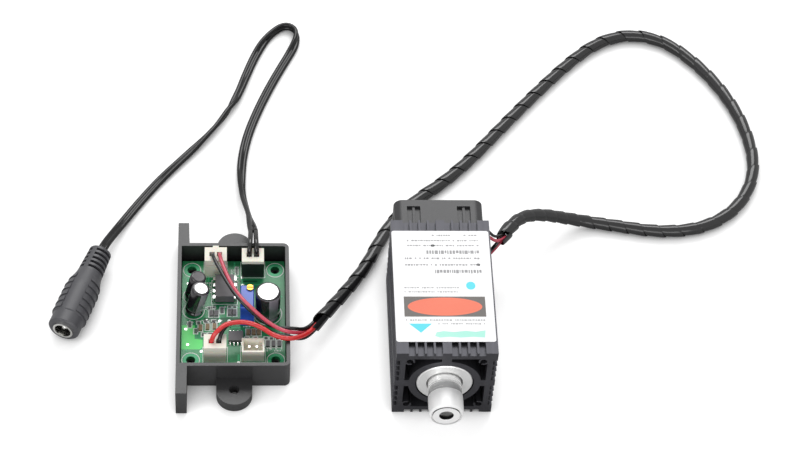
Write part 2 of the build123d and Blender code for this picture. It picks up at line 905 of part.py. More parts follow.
def trimmer_adjuster():
    """The slotted screw that turns in the trimmer's well."""
    x, y = trimmer_place()
    x, y = x + trimmer_screw_right, y + trimmer_screw_rear
    base = board_top + trimmer_height - trimmer_screw_height + trimmer_screw_proud
    top = base + trimmer_screw_height
    return post(trimmer_screw, trimmer_screw_height, x, y, base) - block(
        trimmer_screw + overrun, trimmer_slot, trimmer_slot + overrun, x, y, top - trimmer_slot)


def chip_parts(shares):
    """Small blocks soldered flat on the board."""
    places = [on_board(share) for share in shares]
    return together(block(chip_part_width, chip_part_length, chip_part_height, x, y, board_top)
                    for x, y in places)


# DC socket: drawn along Y with its face at zero, then turned into its place
socket_place = Pos(socket_x, socket_y, socket_z) * Rot(0, 0, socket_turn)
shell_end = shell_proud + shell_length
relief_end = socket_shoulder + relief_length


def spun(*points):
    """A turned piece of the socket, from its corners, each a radius and a distance from the face."""
    return socket_place * revolve(make_face(Polyline(*points, close=True)), Axis.Y)


def collar(outer, inner, start, end):
    return spun((inner, start), (outer, start), (outer, end), (inner, end))


def socket_grips():
    """The scaled grips on the body's two sides, each scale stepping up toward the face."""
    body = socket_body_diameter / 2
    fall = (body - relief_start_diameter / 2) / (socket_shoulder - socket_body_end)
    inner = relief_start_diameter / 2
    points = [(inner, grip_start)]
    for index in range(grip_count):
        start = grip_start + index * grip_pitch
        end = start + grip_pitch
        points.append((body + grip_rise - fall * max(0, start - socket_body_end), start))
        points.append((body - fall * max(0, end - socket_body_end), end))
    between = Box(grip_gap, end - grip_start + overrun, 2 * socket_body_diameter)
    return spun(*points, (inner, end)) - socket_place * Pos(0, (grip_start + end) / 2, 0) * between


def socket_body():
    """The moulded body with its grips and its slotted strain relief."""
    nose = socket_nose / 2
    body = socket_body_diameter / 2
    bore = shell_outer / 2 + contact_gap
    rise_end = socket_nose_length + socket_edge
    solid = spun((bore, 0), (nose - socket_edge, 0), (nose, socket_edge), (nose, socket_nose_length),
                 (body, rise_end), (body, socket_body_end), (relief_start_diameter / 2, socket_shoulder),
                 (relief_end_diameter / 2, relief_end), (0, relief_end), (0, shell_end), (bore, shell_end))
    pitch = (relief_length + relief_slot) / relief_rings
    spine = Rot(0, relief_spine_turn, 0) * Box(relief_spine, relief_length, socket_body_diameter)
    spine = socket_place * Pos(0, (socket_shoulder + relief_end) / 2, 0) * spine
    for index in range(1, relief_rings):
        end = socket_shoulder + index * pitch
        solid -= collar(body, relief_core / 2, end - relief_slot, end) - spine
    return solid + socket_grips()


def socket_shell():
    return collar(shell_outer / 2, shell_inner / 2, -shell_proud, shell_end)


def socket_insulator():
    """The disc that closes the shell and carries the pin."""
    return collar(shell_inner / 2 - contact_gap, socket_pin / 2 + contact_gap, shell_end - insulator_thickness,
                  shell_end)


def socket_pin_piece():
    """The centre pin with its rounded tip."""
    radius = socket_pin / 2
    return spun((0, socket_pin_inset), (radius / 2, socket_pin_inset), (radius, socket_pin_inset + radius / 2),
                (radius, shell_end), (0, shell_end))


# Cord routes: points chosen by hand
wrap_points = [
    (21.8, 30.1, 18.0), (26.0, 37.9, 17.0), (30.7, 43.5, 15.5), (38.0, 47.2, 11.8), (46.0, 50.0, 6.6),
    (55.0, 51.6, 2.4), (66.2, 49.7, 2.3), (77.7, 47.5, 2.3), (88.7, 47.6, 2.3), (98.6, 50.3, 2.3),
    (108.3, 57.1, 2.3), (114.9, 67.3, 2.3), (117.9, 78.5, 2.3), (117.2, 91.7, 2.3), (114.0, 104.7, 2.3),
    (108.4, 117.4, 2.3), (100.7, 128.8, 2.3), (91.2, 138.3, 2.3), (79.1, 141.7, 2.3), (67.1, 138.0, 2.3),
    (55.9, 128.4, 2.3), (42.5, 113.4, 2.3), (27.7, 95.4, 2.3), (15.6, 80.2, 2.3), (5.4, 69.5, 2.3),
    (-2.7, 63.0, 2.3), (-11.9, 54.0, 2.3), (-18.2, 43.2, 2.3), (-23.0, 32.2, 2.4), (-28.5, 22.9, 3.4),
    (-34.3, 13.6, 5.4), (-39.3, 6.0, 7.2), (-43.2, 0.2, 8.0),
]
laser_red_points = [
    (-76.25, -8.0, 10.8), (-76.25, -8.0, 14.4), (-73.9, -5.9, 16.6), (-70.9, -3.1, 16.4),
    (-65.1, -1.5, 15.2), (-60.0, -2.7, 14.0), (-55.4, -5.8, 12.9), (-50.6, -6.8, 12.5),
    (-46.6, -4.6, 10.8), (-43.2, -1.1, 8.9), (-41.0, 2.3, 8.4),
]
laser_black_points = [
    (-73.75, -8.0, 10.8), (-73.75, -8.0, 13.8), (-72.2, -5.0, 14.7), (-70.0, -2.8, 14.2),
    (-65.6, -1.9, 13.6), (-60.4, -3.9, 12.5), (-55.6, -7.3, 12.2), (-50.0, -8.4, 12.6),
    (-46.2, -6.0, 10.1), (-43.3, -1.3, 7.4), (-41.1, 2.1, 6.9),
]
fan_red_points = [
    (-73.75, 28.2, 10.8), (-73.75, 28.2, 14.4), (-73.2, 24.6, 15.8), (-71.0, 18.2, 15.9),
    (-68.6, 12.6, 16.0), (-65.6, 7.1, 16.3), (-62.0, 3.2, 15.8), (-58.1, -0.4, 14.5),
    (-53.6, -3.5, 13.4), (-49.5, -4.3, 12.7), (-44.5, -0.5, 7.5), (-42.3, 2.9, 7.0),
]
fan_black_points = [
    (-76.25, 28.2, 10.8), (-76.25, 28.2, 14.3), (-75.4, 24.2, 15.4), (-72.6, 18.0, 15.3),
    (-70.0, 12.4, 15.5), (-67.2, 7.2, 16.1), (-63.6, 3.2, 15.3), (-59.0, -0.4, 13.2),
    (-54.2, -2.3, 12.5), (-49.6, -2.0, 12.1), (-44.4, -0.3, 8.9), (-42.2, 3.1, 8.4),
]
head_laser_red_points = [
    (-1.0, 0.6, 16.5), (-1.0, 9.0, 16.2), (-0.2, 16.5, 15.2), (3.0, 21.4, 12.9), (8.6, 24.6, 7.9),
    (12.57, 25.2, 8.35), (12.57, 30.1, 8.4), (17.4, 30.7, 9.8), (20.2, 28.9, 17.3), (22.5, 32.9, 16.9),
]
head_laser_black_points = [
    (1.0, 0.6, 16.5), (1.0, 9.0, 16.4), (2.2, 17.6, 15.9), (4.4, 24.0, 12.8), (8.2, 26.4, 7.6),
    (12.2, 26.8, 6.95), (12.5, 29.2, 6.95), (17.8, 28.8, 8.0), (21.2, 27.5, 16.8), (23.8, 32.2, 16.9),
]
head_fan_black_points = [(11.7, 30.6, 26.0), (16.4, 30.4, 25.8), (20.4, 29.0, 19.4), (22.6, 33.1, 18.7)]
head_fan_red_points = [(12.8, 29.3, 23.8), (16.6, 29.1, 23.8), (21.4, 28.1, 19.4), (23.8, 32.4, 18.6)]
lead_wire_left_points = [
    (-63.65, 27.8, 10.8), (-63.65, 27.8, 15.4), (-63.25, 32.0, 16.6), (-63.17, 37.22, 14.35),
]
lead_wire_right_points = [
    (-61.15, 27.8, 10.8), (-61.15, 27.8, 15.4), (-61.35, 32.0, 16.6), (-61.43, 37.22, 14.35),
]
dc_lead_points = [
    (-62.3, 37.45, 14.2), (-62.9, 43.2, 11.2), (-63.7, 49.4, 8.0), (-64.7, 55.6, 4.6), (-65.8, 62.6, 1.6),
    (-66.4, 70.6, 0.9), (-66.1, 80.8, 0.9), (-64.0, 92.6, 0.9), (-60.0, 105.0, 0.9), (-55.2, 117.2, 0.9),
    (-50.0, 128.6, 0.9), (-45.8, 137.4, 0.9), (-46.0, 143.4, 0.9), (-50.4, 145.6, 0.9),
    (-56.0, 140.5, 0.9), (-60.6, 132.5, 0.9), (-64.3, 122.0, 0.9), (-67.6, 110.8, 0.9),
    (-72.3, 100.6, 0.9), (-79.0, 90.6, 0.9), (-87.1, 80.7, 0.9), (-95.0, 71.0, 0.9),
    (-102.1, 60.5, 0.9), (-107.6, 51.0, 1.6), (-111.4, 43.0, 3.7), (-113.3, 38.0, 5.5),
    (-114.44, 34.75, 5.75),
]


def route(points):
    """Straight runs joined by arcs, each as wide as the shorter of its two runs lets it be."""
    spots = [Vector(*point) for point in points]
    radii = []
    for before, here, after in zip(spots, spots[1:], spots[2:]):
        arriving = here - before
        leaving = after - here
        turn = math.radians(arriving.get_angle(leaving))
        radii.append(bend_share * min(arriving.length, leaving.length) / math.tan(turn / 2))
    return FilletPolyline(*points, radius=radii)


def wire(points, diameter):
    """A round wire along its route."""
    path = route(points)
    return sweep(Plane(path @ 0, z_dir=path % 0) * Circle(diameter / 2), path=path)


def harness_wrap():
    """The wrap round the four wires, with an open mouth at each end."""
    path = route(wrap_points)
    first = Plane(path @ 0, z_dir=path % 0)
    last = Plane(path @ 1, z_dir=-(path % 1))
    mouth = Circle(wrap_mouth / 2)
    solid = sweep(first * Circle(wrap_diameter / 2), path=path)
    return solid - extrude(first * mouth, wrap_mouth_depth) - extrude(last * mouth, wrap_mouth_depth)


def dc_lead():
    """The flat twin lead from the tray's rim to the socket."""
    path = route(dc_lead_points)
    along = path % 0
    across = Vector(0, 0, 1).cross(along)
    start = Plane(path @ 0, x_dir=across, z_dir=along)
    return sweep(start * SlotOverall(dc_lead_width, dc_lead_thickness), path=path)


os.makedirs("parts", exist_ok=True)

save(heatsink(), "heatsink")
save(head_label(), "head_label")
save(adapter_sleeve(), "adapter_sleeve")
save(grub_screw(), "sleeve_grub_screw")
save(module_body(), "module_body")
save(diode_can(), "diode_can")
save(diode_ring(), "diode_ring")
save(lens_barrel(), "lens_barrel")
save(focus_cap(), "focus_cap")
save(lens(), "lens")
save(lens_ring(), "lens_ring")
save(focus_spring(), "focus_spring")
save(fan_frame(), "fan_frame")
save(fan_bearing(), "fan_bearing")
save(fan_shaft(), "fan_shaft")
save(fan_rotor(), "fan_rotor")
save(fan_magnet(), "fan_magnet")
save(fan_stator(), "fan_stator")
save(fan_coils(), "fan_coils")
save(fan_board(), "fan_board")
save(fan_screws(), "fan_screws")
save(driver_tray(), "driver_tray")
save(circuit_board(), "circuit_board")
save(header(fan_plug_shares, header_height), "fan_header")
save(header(power_plug_shares, power_header_height), "power_header")
save(header(laser_plug_shares, header_height), "laser_header")
save(header(spare_header_shares, header_height), "spare_header")
save(header_pins(), "header_pins")
save(fan_plug(), "fan_plug")
save(plug(power_plug_shares, power_plug_top, board_top + power_header_height), "power_plug")
save(plug(laser_plug_shares, laser_plug_top, board_top + header_height), "laser_plug")
save(plug_contacts(), "plug_contacts")
save(electrolytic(big_cap, big_cap_height, on_board(big_cap_shares), big_cap_lead_pitch), "big_capacitor")
front_can = electrolytic(front_cap, front_cap_height, on_board(front_cap_shares), small_cap_lead_pitch,
                         small_cap_lean)
save(front_can, "front_capacitor")
rear_can = electrolytic(rear_cap, rear_cap_height, rear_cap_place(), small_cap_lead_pitch, small_cap_lean)
save(rear_can, "rear_capacitor")
save(driver_chip(), "driver_chip")
save(driver_chip_legs(), "driver_chip_legs")
save(small_chip(), "small_chip")
save(small_chip_legs(), "small_chip_legs")
save(trimmer_body(), "trimmer_body")
save(trimmer_adjuster(), "trimmer_screw")
save(chip_parts(resistor_shares), "chip_resistors")
save(chip_parts(chip_capacitor_shares), "chip_capacitors")
save(socket_body(), "dc_socket_body")
save(socket_shell(), "dc_socket_shell")
save(socket_insulator(), "dc_socket_insulator")
save(socket_pin_piece(), "dc_socket_pin")
save(harness_wrap(), "harness_wrap")
save(wire(laser_red_points, laser_red_diameter), "laser_wire_red")
save(wire(laser_black_points, laser_black_diameter), "laser_wire_black")
save(wire(fan_red_points, fan_red_diameter), "fan_wire_red")
save(wire(fan_black_points, fan_black_diameter), "fan_wire_black")
save(wire(head_laser_red_points, laser_red_diameter), "head_laser_wire_red")
save(wire(head_laser_black_points, laser_black_diameter), "head_laser_wire_black")
save(wire(head_fan_red_points, fan_red_diameter), "head_fan_wire_red")
save(wire(head_fan_black_points, fan_black_diameter), "head_fan_wire_black")
save(wire(lead_wire_left_points, lead_wire_diameter), "lead_wire_left")
save(wire(lead_wire_right_points, lead_wire_diameter), "lead_wire_right")
save(dc_lead(), "dc_lead")
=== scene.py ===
# %% [markdown]
# # A laser diode head with its driver board
#
# The head is a square black heatsink with a fan behind it and a silver nozzle in front. A black harness
# joins it to a driver board in an open tray, and a flat twin lead ends in a round power socket. The CAD
# model comes first, as a fixed frame. Everything below gives it its surfaces, or stands a finer piece in
# the place of one of its solids.

import math
import random

import bmesh
import bpy
from mathutils import Matrix, Vector


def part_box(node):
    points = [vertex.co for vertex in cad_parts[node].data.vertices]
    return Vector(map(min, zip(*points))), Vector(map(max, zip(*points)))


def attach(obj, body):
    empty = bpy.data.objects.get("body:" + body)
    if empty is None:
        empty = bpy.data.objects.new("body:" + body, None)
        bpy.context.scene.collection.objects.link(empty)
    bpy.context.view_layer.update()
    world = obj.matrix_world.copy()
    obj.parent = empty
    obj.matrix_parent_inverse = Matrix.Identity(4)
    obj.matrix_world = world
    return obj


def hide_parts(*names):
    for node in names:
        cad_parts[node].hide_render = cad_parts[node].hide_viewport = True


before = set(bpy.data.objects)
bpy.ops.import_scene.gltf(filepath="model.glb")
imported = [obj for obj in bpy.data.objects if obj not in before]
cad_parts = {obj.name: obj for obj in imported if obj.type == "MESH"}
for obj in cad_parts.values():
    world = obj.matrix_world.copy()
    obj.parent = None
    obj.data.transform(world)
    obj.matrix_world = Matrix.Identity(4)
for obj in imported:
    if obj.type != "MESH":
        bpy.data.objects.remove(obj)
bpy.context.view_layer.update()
scene = bpy.context.scene
MM = 0.001

# %% [markdown]
# ## The camera
#
# The photograph was taken from a little above 50 degrees with a long lens, and it is rolled a little, so
# the head stands upright in it while the tray leans. A camera is easiest to place by its three axes: where
# it looks, its right and its up. The roll turns the last two about the first.

# %% Camera
PITCH, YAW, ROLL = math.radians(51.31), math.radians(5.71), math.radians(4.62)
ahead = Vector((math.sin(YAW) * math.cos(PITCH), math.cos(YAW) * math.cos(PITCH), -math.sin(PITCH)))
level = Vector((math.cos(YAW), -math.sin(YAW), 0))
steep = level.cross(ahead)
right = level * math.cos(ROLL) + steep * math.sin(ROLL)
up = steep * math.cos(ROLL) - level * math.sin(ROLL)
lens = bpy.data.cameras.new("camera")
lens.lens, lens.sensor_width = 116.94, 36
camera = bpy.data.objects.new("camera", lens)
camera.matrix_world = Matrix((right, up, -ahead)).transposed().to_4x4()
camera.location = (-0.06847, -0.50916, 0.70196)
scene.collection.objects.link(camera)
scene.camera = camera
print("camera looks along", [round(part, 3) for part in ahead])

# %% [markdown]
# ## Small tools for meshes
#
# Most pieces here are turned, swept or flat, so a few helpers make nearly all of them. One spins a profile
# about an axis and one runs a cross-section along a line, and both give corners and faces. Another hands
# such a pair to Blender, and returns an object that has its finish and rides on its body.

# %% A mesh from corners and faces
def mesh_piece(name, corners, faces, finishes, body="chassis", marks=None, smooth=False):
    mesh = bpy.data.meshes.new(name)
    mesh.from_pydata([tuple(c) for c in corners], [], faces)
    for finish in finishes:
        mesh.materials.append(finish)
    for polygon, mark in zip(mesh.polygons, marks or []):
        polygon.material_index = mark
    bm = bmesh.new()
    bm.from_mesh(mesh)
    bmesh.ops.remove_doubles(bm, verts=bm.verts, dist=1e-7)
    bmesh.ops.recalc_face_normals(bm, faces=bm.faces)
    bm.to_mesh(mesh)
    bm.free()
    if smooth:
        mesh.shade_smooth()
        mesh.set_sharp_from_angle(angle=math.radians(32))
    thing = bpy.data.objects.new(name, mesh)
    scene.collection.objects.link(thing)
    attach(thing, body)
    print(name, len(mesh.polygons), "faces")
    return thing


# %% A profile spun about an axis
def spin(profile, origin, axis, steps, start=None, ripple=None):
    axis = Vector(axis).normalized()
    first = Vector(start or (0, 0, 1) if abs(axis.z) < 0.9 else (1, 0, 0))
    first = (first - axis * first.dot(axis)).normalized()
    second = axis.cross(first)
    corners, faces = [], []
    for turn in range(steps):
        angle = 2 * math.pi * turn / steps
        for index, (radius, along) in enumerate(profile):
            reach = radius + (ripple(index, turn) if ripple else 0)
            spoke = first * math.cos(angle) + second * math.sin(angle)
            corners.append(Vector(origin) + axis * along + spoke * reach)
    rows = len(profile)
    for turn in range(steps):
        here, there = turn * rows, (turn + 1) % steps * rows
        for row in range(rows - 1):
            faces.append((here + row, here + row + 1, there + row + 1, there + row))
    return corners, faces


# %% A cross-section carried along a line, without twist
def frames_along(line, up_hint=None):
    steps = []
    side = None
    for index, spot in enumerate(line):
        before, after = line[max(index - 1, 0)], line[min(index + 1, len(line) - 1)]
        along = (after - before).normalized()
        if up_hint is not None:
            side = Vector(up_hint).cross(along).normalized()
        elif side is None:
            side = along.orthogonal().normalized()
        else:
            side = (side - along * side.dot(along)).normalized()
        steps.append((spot, along, side, along.cross(side)))
    return steps


def tube_faces(rows, count):
    faces = []
    for row in range(rows - 1):
        for point in range(count):
            after = (point + 1) % count
            faces.append((row * count + point, row * count + after,
                          (row + 1) * count + after, (row + 1) * count + point))
    return faces + [tuple(range(count)), tuple(range((rows - 1) * count, rows * count))]


def sweep(section, line):
    corners = []
    for spot, _, side, over in frames_along(line):
        corners += [spot + side * across + over * high for across, high in section]
    return corners, tube_faces(len(line), len(section))


print("mesh tools: mesh_piece, spin, sweep")

# %% [markdown]
# ## The cords
#
# Ten wires, a harness wrap and a flat twin lead join the head, the board and the socket. Each follows a
# smooth NURBS spline. Its control points are the CAD model's, or stand a few millimetres off them where
# wires press together. The order and the end points are set last, because Blender forgets them when points
# are added. Thickness is in millimetres.

# %% The routes
wrap_points = [
    (0.0209, 0.0295, 0.0187), (0.0256, 0.0374, 0.0174), (0.0307, 0.0435, 0.0155),
    (0.038, 0.0472, 0.0118), (0.046, 0.05, 0.0066), (0.055, 0.0516, 0.0024), (0.0662, 0.0497, 0.0023),
    (0.0777, 0.0475, 0.0023), (0.0887, 0.0476, 0.0023), (0.0986, 0.0503, 0.0023),
    (0.1083, 0.0571, 0.0023), (0.1149, 0.0673, 0.0023), (0.1179, 0.0785, 0.0023),
    (0.1172, 0.0917, 0.0023), (0.114, 0.1047, 0.0023), (0.1084, 0.1174, 0.0023),
    (0.1007, 0.1288, 0.0023), (0.0912, 0.1383, 0.0023), (0.0791, 0.1417, 0.0023),
    (0.0671, 0.138, 0.0023), (0.0559, 0.1284, 0.0023), (0.0425, 0.1134, 0.0023),
    (0.0277, 0.0954, 0.0023), (0.0156, 0.0802, 0.0023), (0.0054, 0.0695, 0.0023),
    (-0.0027, 0.063, 0.0023), (-0.0119, 0.054, 0.0023), (-0.0182, 0.0432, 0.0023),
    (-0.023, 0.0322, 0.0024), (-0.0285, 0.0229, 0.0034), (-0.0343, 0.0136, 0.0054),
    (-0.0393, 0.006, 0.0072), (-0.0432, 0.0002, 0.008),
]
laser_red_points = [
    (-0.07625, -0.008, 0.0108), (-0.07625, -0.008, 0.0144), (-0.0739, -0.0059, 0.0166),
    (-0.0709, -0.0031, 0.0164), (-0.0651, -0.0015, 0.0152), (-0.06, -0.0027, 0.014),
    (-0.0554, -0.0058, 0.0129), (-0.0506, -0.0068, 0.0125), (-0.0466, -0.0046, 0.0108),
    (-0.0432, -0.0011, 0.0089), (-0.041, 0.0023, 0.0084),
]
laser_black_points = [
    (-0.07375, -0.008, 0.0108), (-0.07375, -0.008, 0.0138), (-0.0724, -0.0043, 0.0147),
    (-0.0702, -0.0018, 0.0146), (-0.065, -0.0006, 0.014), (-0.0599, -0.0018, 0.0129),
    (-0.0553, -0.0048, 0.0122), (-0.0503, -0.0056, 0.0121), (-0.0464, -0.0045, 0.0094),
    (-0.0433, -0.0013, 0.0074), (-0.0411, 0.0021, 0.0069),
]
fan_red_points = [
    (-0.07375, 0.0282, 0.0108), (-0.07375, 0.0282, 0.0144), (-0.0734, 0.0246, 0.0158),
    (-0.0715, 0.0182, 0.0159), (-0.0692, 0.0126, 0.016), (-0.0662, 0.0071, 0.0163),
    (-0.0625, 0.0032, 0.0158), (-0.0585, -0.0004, 0.0145), (-0.0536, -0.0035, 0.0134),
    (-0.0495, -0.0043, 0.0127), (-0.0445, -0.0005, 0.0075), (-0.0423, 0.0029, 0.007),
]
fan_black_points = [
    (-0.07625, 0.0282, 0.0108), (-0.07625, 0.0282, 0.0143), (-0.0754, 0.0242, 0.0154),
    (-0.0726, 0.018, 0.0153), (-0.07, 0.0124, 0.0155), (-0.0672, 0.0072, 0.0161),
    (-0.0636, 0.0032, 0.0153), (-0.059, -0.0004, 0.0132), (-0.0542, -0.0023, 0.0125),
    (-0.0496, -0.002, 0.0121), (-0.0444, -0.0003, 0.0089), (-0.0422, 0.0031, 0.0084),
]
head_laser_red_points = [
    (-0.001, 0.0006, 0.0165), (-0.001, 0.009, 0.0162), (-0.0002, 0.0165, 0.0152),
    (0.003, 0.0214, 0.0129), (0.0086, 0.0246, 0.0079), (0.01257, 0.0252, 0.0078),
    (0.01257, 0.0298, 0.0072), (0.0178, 0.0304, 0.0094), (0.0207, 0.0291, 0.0171),
    (0.0229, 0.0326, 0.0168),
]
head_laser_black_points = [
    (0.001, 0.0006, 0.0165), (0.001, 0.009, 0.0164), (0.0022, 0.0176, 0.0159), (0.0044, 0.024, 0.0128),
    (0.0082, 0.0264, 0.0076), (0.0122, 0.0272, 0.0082), (0.0125, 0.0297, 0.0094),
    (0.0176, 0.0292, 0.0124), (0.0212, 0.0298, 0.0186), (0.0228, 0.0336, 0.0178),
]
head_fan_black_points = [
    (0.0117, 0.0306, 0.026), (0.0164, 0.0304, 0.0252), (0.0201, 0.0293, 0.0204),
    (0.0234, 0.034, 0.0183),
]
head_fan_red_points = [
    (0.0128, 0.0293, 0.0238), (0.0166, 0.0291, 0.0232), (0.0208, 0.0285, 0.0193),
    (0.024, 0.0328, 0.0177),
]
lead_wire_left_points = [
    (-0.06365, 0.0278, 0.0108), (-0.06365, 0.0278, 0.0154), (-0.06325, 0.032, 0.0166),
    (-0.06317, 0.03722, 0.01435),
]
lead_wire_right_points = [
    (-0.06115, 0.0278, 0.0108), (-0.06115, 0.0278, 0.0154), (-0.06135, 0.032, 0.0166),
    (-0.06143, 0.03722, 0.01435),
]
dc_lead_points = [
    (-0.0623, 0.03745, 0.0142), (-0.0629, 0.0432, 0.0112), (-0.0637, 0.0494, 0.008),
    (-0.0647, 0.0556, 0.0046), (-0.0658, 0.0626, 0.0016), (-0.0664, 0.0706, 0.0009),
    (-0.0661, 0.0808, 0.0009), (-0.064, 0.0926, 0.0009), (-0.06, 0.105, 0.0009),
    (-0.0552, 0.1172, 0.0009), (-0.05, 0.1286, 0.0009), (-0.0458, 0.1374, 0.0009),
    (-0.046, 0.1434, 0.0009), (-0.0504, 0.1456, 0.0009), (-0.056, 0.1405, 0.0009),
    (-0.0606, 0.1325, 0.0009), (-0.0643, 0.122, 0.0009), (-0.0676, 0.1108, 0.0009),
    (-0.0723, 0.1006, 0.0009), (-0.079, 0.0906, 0.0009), (-0.0871, 0.0807, 0.0009),
    (-0.095, 0.071, 0.0009), (-0.1021, 0.0605, 0.0009), (-0.1076, 0.051, 0.0016),
    (-0.1114, 0.043, 0.0037), (-0.1133, 0.038, 0.0055), (-0.11444, 0.03475, 0.00575),
]


def line_of(points):
    curve = bpy.data.curves.new("guide", "CURVE")
    curve.dimensions, curve.resolution_u = "3D", 16
    spline = curve.splines.new("NURBS")
    spline.points.add(len(points) - 1)
    for spot, place in zip(spline.points, points):
        spot.co = (*place, 1)
    spline.order_u = 3
    spline.use_endpoint_u = True
    guide = bpy.data.objects.new("guide", curve)
    scene.collection.objects.link(guide)
    mesh = bpy.data.meshes.new_from_object(guide)
    bpy.data.objects.remove(guide)
    return [vertex.co.copy() for vertex in mesh.vertices]


def length_of(line):
    return sum((b - a).length for a, b in zip(line, line[1:]))


wires = {}
for name, points, thick in (
        ("laser_wire_red", laser_red_points, 1.6), ("laser_wire_black", laser_black_points, 1.45),
        ("fan_wire_red", fan_red_points, 1.3), ("fan_wire_black", fan_black_points, 1.25),
        ("head_laser_wire_red", head_laser_red_points, 1.35),
        ("head_laser_wire_black", head_laser_black_points, 1.3),
        ("head_fan_wire_red", head_fan_red_points, 1.1), ("head_fan_wire_black", head_fan_black_points, 1.0),
        ("lead_wire_left", lead_wire_left_points, 1.7), ("lead_wire_right", lead_wire_right_points, 1.7)):
    wires[name] = (points, line_of(points), thick)
    print(name, "is", round(length_of(wires[name][1]) * 1000, 1), "mm long")

# %% [markdown]
# ## Shader maths in plain Python
#
# A material is a graph of nodes, and a long graph is hard to read. Two small classes help. A Signal is what
# comes out of a node, and Python's own signs on it add Math nodes, so a formula reads as a formula. A
# Finish is one material. Its node() adds any other node, with its settings and what feeds it.

# %% Signals
class Signal:
    def __init__(self, finish, socket):
        self.finish, self.socket = finish, socket

    def maths(self, operation, *others):
        values = dict(enumerate(others))
        return self.finish.node("Math", {"operation": operation}, values)

    def __add__(self, other):
        return self.maths("ADD", self, other)

    def __mul__(self, other):
        return self.maths("MULTIPLY", self, other)

    __radd__ = __add__


# %% Finishes
class Finish:
    def __init__(self, name, **constants):
        self.material = bpy.data.materials.new(name)
        self.material.use_nodes = True
        self.tree = self.material.node_tree
        self.shader = self.tree.nodes["Principled BSDF"]
        for socket, value in constants.items():
            self.shader.inputs[socket.replace("_", " ")].default_value = value

    def node(self, kind, settings=None, values=None, out=0):
        node = self.tree.nodes.new("ShaderNode" + kind)
        for setting, value in (settings or {}).items():
            setattr(node, setting, value)
        for socket, value in (values or {}).items():
            self.feed(node.inputs[socket], value)
        return Signal(self, node.outputs[out])

    def feed(self, socket, value):
        if isinstance(value, Signal):
            self.tree.links.new(value.socket, socket)
        else:
            socket.default_value = value

    def place(self):
        return self.node("TexCoord", out=3)

    def xyz(self):
        spot = self.place()
        parts = self.node("SeparateXYZ", None, {0: spot})
        return [Signal(self, socket) * (1 / MM) for socket in parts.socket.node.outputs]

    def noise(self, scale, detail=3, stretch=(1, 1, 1), seed=0):
        spot = self.node("VectorMath", {"operation": "MULTIPLY"}, {0: self.place(), 1: stretch})
        spot = self.node("VectorMath", {"operation": "ADD"}, {0: spot, 1: (seed, seed * 0.7, 0)})
        return self.node("TexNoise", None, {"Vector": spot, "Scale": scale, "Detail": detail})

    def mix(self, mask, first, second):
        return self.node("Mix", {"data_type": "RGBA"}, {0: mask, 6: first, 7: second}, out=2)

    def ease(self, value, low, high):
        settings = {"interpolation_type": "SMOOTHSTEP"}
        return self.node("MapRange", settings, {0: value, 1: low, 2: high})

    def bump(self, height, strength=0.3, depth=0.0001):
        return self.node("Bump", None, {"Height": height, "Strength": strength, "Distance": depth})

    def paint(self, **signals):
        for socket, value in signals.items():
            self.feed(self.shader.inputs[socket.replace("_", " ")], value)
        return self.material


def colour(hexadecimal):
    parts = [int(hexadecimal[i:i + 2], 16) / 255 for i in (0, 2, 4)]
    return tuple(p / 12.92 if p < 0.04045 else ((p + 0.055) / 1.055) ** 2.4 for p in parts) + (1,)


print("a mid grey is", [round(part, 3) for part in colour("808080")])

# %% [markdown]
# ## The finishes
#
# Black things are most of this object, and they differ only in how they catch the light: anodised
# aluminium is satin and faintly metallic, moulded plastic is softer, sleeves and cable are glossier. Each
# gets its own fine grain, and a little wear where the real one shows it.

# %% Metals
def anodised():
    finish = Finish("black_anodised", Metallic=0.75)
    lines = finish.noise(900, 2, (1, 0.02, 1))
    blotch = finish.noise(60, 3)
    tone = finish.mix(blotch, colour("3a3a3e"), colour("4b4b50"))
    rough = 0.36 + lines * 0.1 + blotch * 0.06
    return finish.paint(Base_Color=tone, Roughness=rough, Normal=finish.bump(lines, 0.15, 0.00004))


def turned_metal(name, light, dark, rough, axis=1, scratch=2600, metal=1):
    finish = Finish(name, Metallic=metal)
    stretch = [0.03, 0.03, 0.03]
    stretch[axis] = 1
    rings = finish.noise(scratch, 2, stretch)
    cloud = finish.noise(150, 3, seed=3)
    tone = finish.mix(rings * 0.5 + cloud * 0.5, colour(dark), colour(light))
    return finish.paint(Base_Color=tone, Roughness=rough + rings * 0.12,
                        Normal=finish.bump(rings, 0.2, 0.00003))


def soft_metal(name, light, dark, rough, grain=400):
    finish = Finish(name, Metallic=1)
    cloud = finish.noise(grain, 4)
    tone = finish.mix(cloud, colour(dark), colour(light))
    return finish.paint(Base_Color=tone, Roughness=rough + cloud * 0.15,
                        Normal=finish.bump(cloud, 0.1, 0.00004))


anodised_black = anodised()
silver = turned_metal("turned_aluminium", "fdfdfc", "e6e6e6", 0.2, metal=0.6)
satin_silver = turned_metal("satin_aluminium", "ffffff", "f6f6f6", 0.4, metal=0.2)
nickel = soft_metal("nickel", "f0f0ee", "d6d5d0", 0.14)
steel = soft_metal("steel", "b9babb", "8c8d90", 0.25)
blackened = soft_metal("blackened_steel", "4a4a4c", "343436", 0.35)
brass = soft_metal("brass", "e2bd63", "b88a38", 0.24)
copper = soft_metal("copper", "c9753f", "9c4c22", 0.3, 1500)
bronze = soft_metal("bearing_bronze", "a88554", "7d5f38", 0.4)
print(len(bpy.data.materials), "metals")


# %% Plastics
def moulded(name, light, dark, rough, grain=700, depth=0.00004, strength=0.2, **constants):
    finish = Finish(name, **constants)
    fine = finish.noise(grain * 3, 2)
    cloud = finish.noise(grain / 10, 3, seed=2)
    tone = finish.mix(cloud, colour(dark), colour(light))
    return finish.paint(Base_Color=tone, Roughness=rough + fine * 0.1,
                        Normal=finish.bump(fine, strength, depth))


